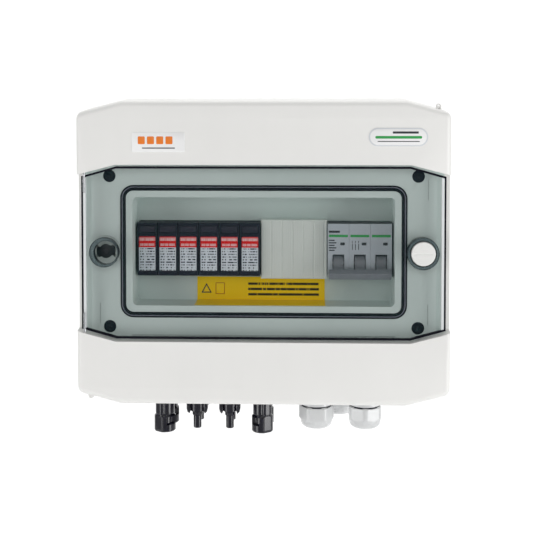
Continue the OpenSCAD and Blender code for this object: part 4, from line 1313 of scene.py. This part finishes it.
@dataclass
class SolarConnectors:
    """The panel halves of the solar connectors, in two rows."""

    shell_radius: float = 9.4
    flange_radius: float = 10.4
    thread_radius: float = 8.1
    wall: float = -128.5
    mouth: float = 6.7
    window_turn: float = 0.62
    window_depth: float = 2.9
    middle_x: float = -45.0

    def build(self) -> None:
        """Builds both rows and dresses the nuts and contacts."""
        for row in Row:
            for kind in Kind:
                self._pair(row, kind)
        dress(["pv_locknuts"], CONNECTOR)
        dress(["pv_contacts"], TIN)

    def _pair(self, row: Row, kind: Kind) -> None:
        """Replaces one CAD node, a pair of connectors, by detailed ones."""
        node = f"pv_{kind.value}_{row.value}"
        low, high = span(node)
        radius = self.flange_radius
        y = (low.y + high.y) / 2
        for number, x in enumerate((low.x + radius, high.x - radius), 1):
            build = self._wide if kind is Kind.WIDE else self._slim
            piece = build(f"{node}_{number}", (x, y), low.z, high.z)
            if number == 1:
                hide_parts(node)
        LOG.info("%s built", node)

    def _flange(self, high: float) -> list[Pair]:
        """Radius and height of the rows from the flange to the end of the thread."""
        return [(self.flange_radius, self.wall - 3), (self.flange_radius, self.wall - 0.2),
                (self.flange_radius - 0.2, self.wall), (self.thread_radius, self.wall + 0.01),
                (self.thread_radius, high)]

    def _wide(self, name: str, place: Pair, low: float, high: float) -> bpy.types.Object:
        """A wide connector: one turned shell, flattened, ribbed, with a latch window at each side.

        The radius is the profile's, drawn in above the waist, cut to a flat front and back, less the
        windows' depth at both sides, with a raised panel in front between two slits.
        """
        wall, mouth = self.wall, self.mouth
        waist = low + 14.0
        turn = math.copysign(self.window_turn, place[0] - self.middle_x)

        def shape(angle: Array, height: Array, radius: Array) -> Array:
            """The radius at an angle and a height."""
            angle = angle - turn
            outside = (height < wall - 3.2) & (radius > 7.2)
            narrow = radius - 1.1 * step_up(height, waist, 0.8)
            flat = np.minimum(narrow, 8.1 / np.maximum(np.abs(np.sin(angle)), 0.2))
            side = np.abs(np.cos(angle))
            gap = within(height, low + 6.8, low + 13.0, 0.5)
            window = self.window_depth * step_up(side, 0.79, 0.05) * gap
            front = np.abs(np.sin(angle))
            panel = 0.55 * step_up(front, 0.90, 0.03) * within(height, low + 1.4, wall - 5, 0.6)
            slit = 0.5 * within(front, 0.76, 0.82, 0.03) * within(height, waist + 1, wall - 5, 0.8)
            step = 0.35 * within(height, waist + 0.8, waist + 1.5, 0.2)
            return np.where(outside, flat - window + panel - slit - step, radius)

        outer = self.shell_radius
        rows = [(mouth, low + 7), (mouth, low + 0.6), (mouth + 0.5, low), (outer - 0.7, low),
                (outer, low + 0.8)]
        rows += [(outer, z) for z in np.linspace(low + 1.6, wall - 4, 90)]
        rows += [(outer, wall - 3.3), *self._flange(high), (4.5, high), (4.5, wall), (6.2, wall - 6),
                 (6.2, low + 7.05)]
        mesh = Turned(rows, 144, shape, ring=True).mesh(name, Axis.UP, (*place, 0))
        return finish_piece(name, mesh, CONNECTOR, "enclosure", 38)

    def _slim(self, name: str, place: Pair, low: float, high: float) -> bpy.types.Object:
        """A slim connector: a turned body with a long probe, and two sprung fingers with hooks."""
        wall = self.wall
        rows = [(2.2, low + 8), (2.2, low), (3.1, low), (3.5, low + 0.5), (3.5, wall - 24),
                (4.3, wall - 23.4), (4.5, wall - 20.6), (6.2, wall - 19.6), (6.4, wall - 12),
                (5.9, wall - 11.6), (5.9, wall - 10.8), (6.5, wall - 10.4), (6.5, wall - 3.2),
                *self._flange(high), (2.9, high), (2.9, wall - 2)]
        mesh = Turned(rows, 48, None, ring=True).mesh(name, Axis.UP, (*place, 0))
        body = finish_piece(name, mesh, CONNECTOR, "enclosure", 38)
        finger = np.array([[5.8, -2.9], [8.3, -2.9], [8.4, -9.0], [9.3, -11.0], [9.4, -17.5], [8.6, -20.5],
                           [6.8, -22.0], [5.8, -19.5]]) + [0, wall]
        for side in Side:
            label = f"{name}_finger_{side.word}"
            flat = finger * [side.value, 1] + [place[0], 0]
            mesh = Plate(flat, place[1] - 3.6, place[1] + 3.6, 0.5).mesh(label)
            finish_piece(label, mesh, CONNECTOR, "enclosure", 45)
        return body


@dataclass
class Glands:
    """The three cable glands: bodies, lock nuts, seals and dome nuts."""

    flats: float = 28.0
    corner: float = 15.4
    bore: float = 8.8
    dome_height: float = 6.4
    blend: float = 2.0
    grips: int = 12
    grip_depth: float = 0.35
    groove_z: float = -143.6
    groove_depth: float = 1.3
    groove_half: float = 0.7
    ring_half: float = 0.6
    turns: tuple[float, float, float] = (0.0, 30.0, 10.0)

    def build(self) -> None:
        """Builds the dome nuts and dresses the rest."""
        for number, turn in enumerate(self.turns, 1):
            self._nut(number, math.radians(turn))
            soften(f"gland_body_{number}", f"gland_base_{number}", GLAND, "enclosure", 0.5)
        soften("gland_locknuts", "gland_lock_nuts", GLAND, "enclosure", 0.4)
        dress(["gland_seals"], SEAL)

    def _nut(self, number: int, turn: float) -> None:
        """One dome nut: a hexagon with round corners that melts into a round dome.

        The hexagon's radius at angle a is half its flats over the cosine of the angle to the nearest
        flat, kept below the corner radius. Below it, and above the collar's groove, it gives way to a
        circle.
        """
        low, high = span(f"gland_nut_{number}")
        centre = ((low.x + high.x) / 2, (low.y + high.y) / 2)
        dome = low.z + self.dome_height
        collar = self.groove_z
        half = self.flats / 2

        def shape(angle: Array, height: Array, radius: Array) -> Array:
            """The radius at an angle and a height."""
            near = np.abs(((angle - turn) % (np.pi / 3)) - np.pi / 6)
            hexagon = np.minimum(half / np.cos(near), self.corner)
            share = np.clip((height - dome) / self.blend, 0, 1) ** 0.7 * (1 - step_up(height, collar, 0.3))
            outside = radius > self.bore + 3.4
            mixed = half + (hexagon - half) * share
            grip = np.maximum(0, np.cos(self.grips * (angle - turn))) ** 4
            notch = self.grip_depth * grip * within(height, dome - 4, dome, 1.0)
            deep = within(height, collar - self.groove_half, collar + self.groove_half, 0.2)
            groove = self.groove_depth * deep
            return np.where(outside, radius * mixed / half - notch - groove, radius)

        fall = np.linspace(np.pi / 2, 0, 12)
        rows = [(half - 5.5 + 5.5 * math.cos(a), low.z + 6.0 - 6.0 * math.sin(a)) for a in fall]
        rows += [(half, z) for z in np.linspace(low.z + 6.6, high.z - 0.8, 70)]
        rows += [(half - 0.6, high.z), (11.8, high.z), (11.8, low.z + 9.5), (self.bore, low.z + 9.4),
                 (self.bore, low.z + 0.6), (self.bore + 0.6, low.z)]
        name = f"gland_dome_nut_{number}"
        mesh = Turned(rows, 96, shape, ring=True).mesh(name, Axis.UP, (*centre, 0))
        piece = finish_piece(name, mesh, GLAND, f"nut_{number}", 38)
        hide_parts(f"gland_nut_{number}")
        # Painted shade: a black ring in the collar's groove for the shadow in the gap between collar and nut.
        top, foot = collar + self.ring_half, collar - self.ring_half
        gap = Turned([(half - 2.0, foot), (half - 0.5, foot), (half - 0.5, top), (half - 2.0, top)],
                     ring=True)
        finish_piece(f"gland_gap_ring_{number}", gap.mesh("gap", Axis.UP, (*centre, 0)), SEAL,
                     f"nut_{number}", 30)
        LOG.info("%s built", name)


class Studio:
    """Floor, lights and camera."""

    camera_place = (0.0313, -0.978, 0.1158)
    camera_turn = (90.0 - 2.06, 0.0, 1.922)
    lens_mm = 69.2
    shift_up = -0.219
    sweep_half = 5.0
    bend_radius = 1.0
    world_strength = 0.36

    def build(self) -> None:
        """Builds the studio."""
        self._sweep()
        self._lights()
        self._camera()

    def _sweep(self) -> None:
        """A pale floor that curves up into a wall behind: a straight run, a quarter circle, a rise."""
        material, wire, shader = new_material("studio paper")
        place = wire.add("TexCoord").outputs["Object"]
        tone = wire.mix(wire.noise(place, 3.0), (0.86, 0.86, 0.86, 1), (0.90, 0.90, 0.90, 1))
        wire.join(tone, shader.inputs["Base Color"])
        shader.inputs["Roughness"].default_value = 0.9
        bend = np.linspace(0, np.pi / 2, 16)
        y = np.concatenate([[-4.0], 1.2 + self.bend_radius * np.sin(bend), [2.2]])
        z = np.concatenate([[-0.75], 0.25 - self.bend_radius * np.cos(bend), [4.0]])
        x = np.linspace(-self.sweep_half, self.sweep_half, 3)
        grids = np.broadcast_arrays(x[None], y[:, None], z[:, None])
        points = np.stack(grids, -1)
        mesh = bpy.data.meshes.new("studio_sweep")
        mesh.from_pydata(points.reshape(-1, 3).tolist(), [], grid_quads(len(y), 3, False, False).tolist())
        mesh.polygons.foreach_set("use_smooth", np.ones(len(mesh.polygons), bool))
        mesh.materials.append(material)
        sweep = bpy.data.objects.new("studio_sweep", mesh)
        bpy.context.scene.collection.objects.link(sweep)

    def _lights(self) -> None:
        """A pale world, a wide key above the camera, a soft box at each side, and one for the backdrop.

        Each light is given by its name, place, target, width, height and power in watts.
        """
        world = bpy.data.worlds.new("studio")
        world.use_nodes = True
        world.node_tree.nodes["Background"].inputs["Color"].default_value = (1.0, 1.0, 1.0, 1)
        world.node_tree.nodes["Background"].inputs["Strength"].default_value = self.world_strength
        bpy.context.scene.world = world
        panels = [("key", (0.1, -1.6, 0.66), (0, 0, 0), 1.8, 0.9, 5.2),
                  ("left", (-1.25, -0.80, -0.15), (0, 0, -0.05), 0.50, 0.95, 7.0),
                  ("right", (1.25, -0.70, -0.15), (0, 0, -0.05), 0.55, 0.95, 9.2),
                  ("backdrop", (0, 0.7, 1.8), (0, 2.2, -0.1), 2.6, 0.8, 52.0)]
        for name, place, target, width, height, power in panels:
            light = bpy.data.lights.new(name, "AREA")
            light.shape = "RECTANGLE"
            light.size = width
            light.size_y = height
            light.energy = power
            panel = bpy.data.objects.new(name, light)
            panel.location = place
            aim = Vector(target) - Vector(place)
            panel.rotation_euler = aim.to_track_quat("-Z", "Y").to_euler()
            bpy.context.scene.collection.objects.link(panel)

    def _camera(self) -> None:
        """The camera, level with the box's upper half, with its view shifted down."""
        data = bpy.data.cameras.new("camera")
        data.sensor_width = 36.0
        data.lens = self.lens_mm
        data.shift_y = self.shift_up
        data.clip_start = 0.01
        camera = bpy.data.objects.new("camera", data)
        camera.location = self.camera_place
        camera.rotation_euler = tuple(math.radians(angle) for angle in self.camera_turn)
        bpy.context.scene.collection.objects.link(camera)
        bpy.context.scene.camera = camera
        bpy.context.scene.view_settings.view_transform = "Standard"


def main() -> None:
    """Builds every sub-assembly in order."""
    logging.basicConfig(level=logging.INFO, format="%(name)s: %(message)s")
    for part in (Studio(), Housing(), Door(), Arresters(), Breaker(), Interior(), SolarConnectors(),
                 Glands()):
        part.build()
        LOG.info("%s done", type(part).__name__)


if __name__ == "__main__":
    main()
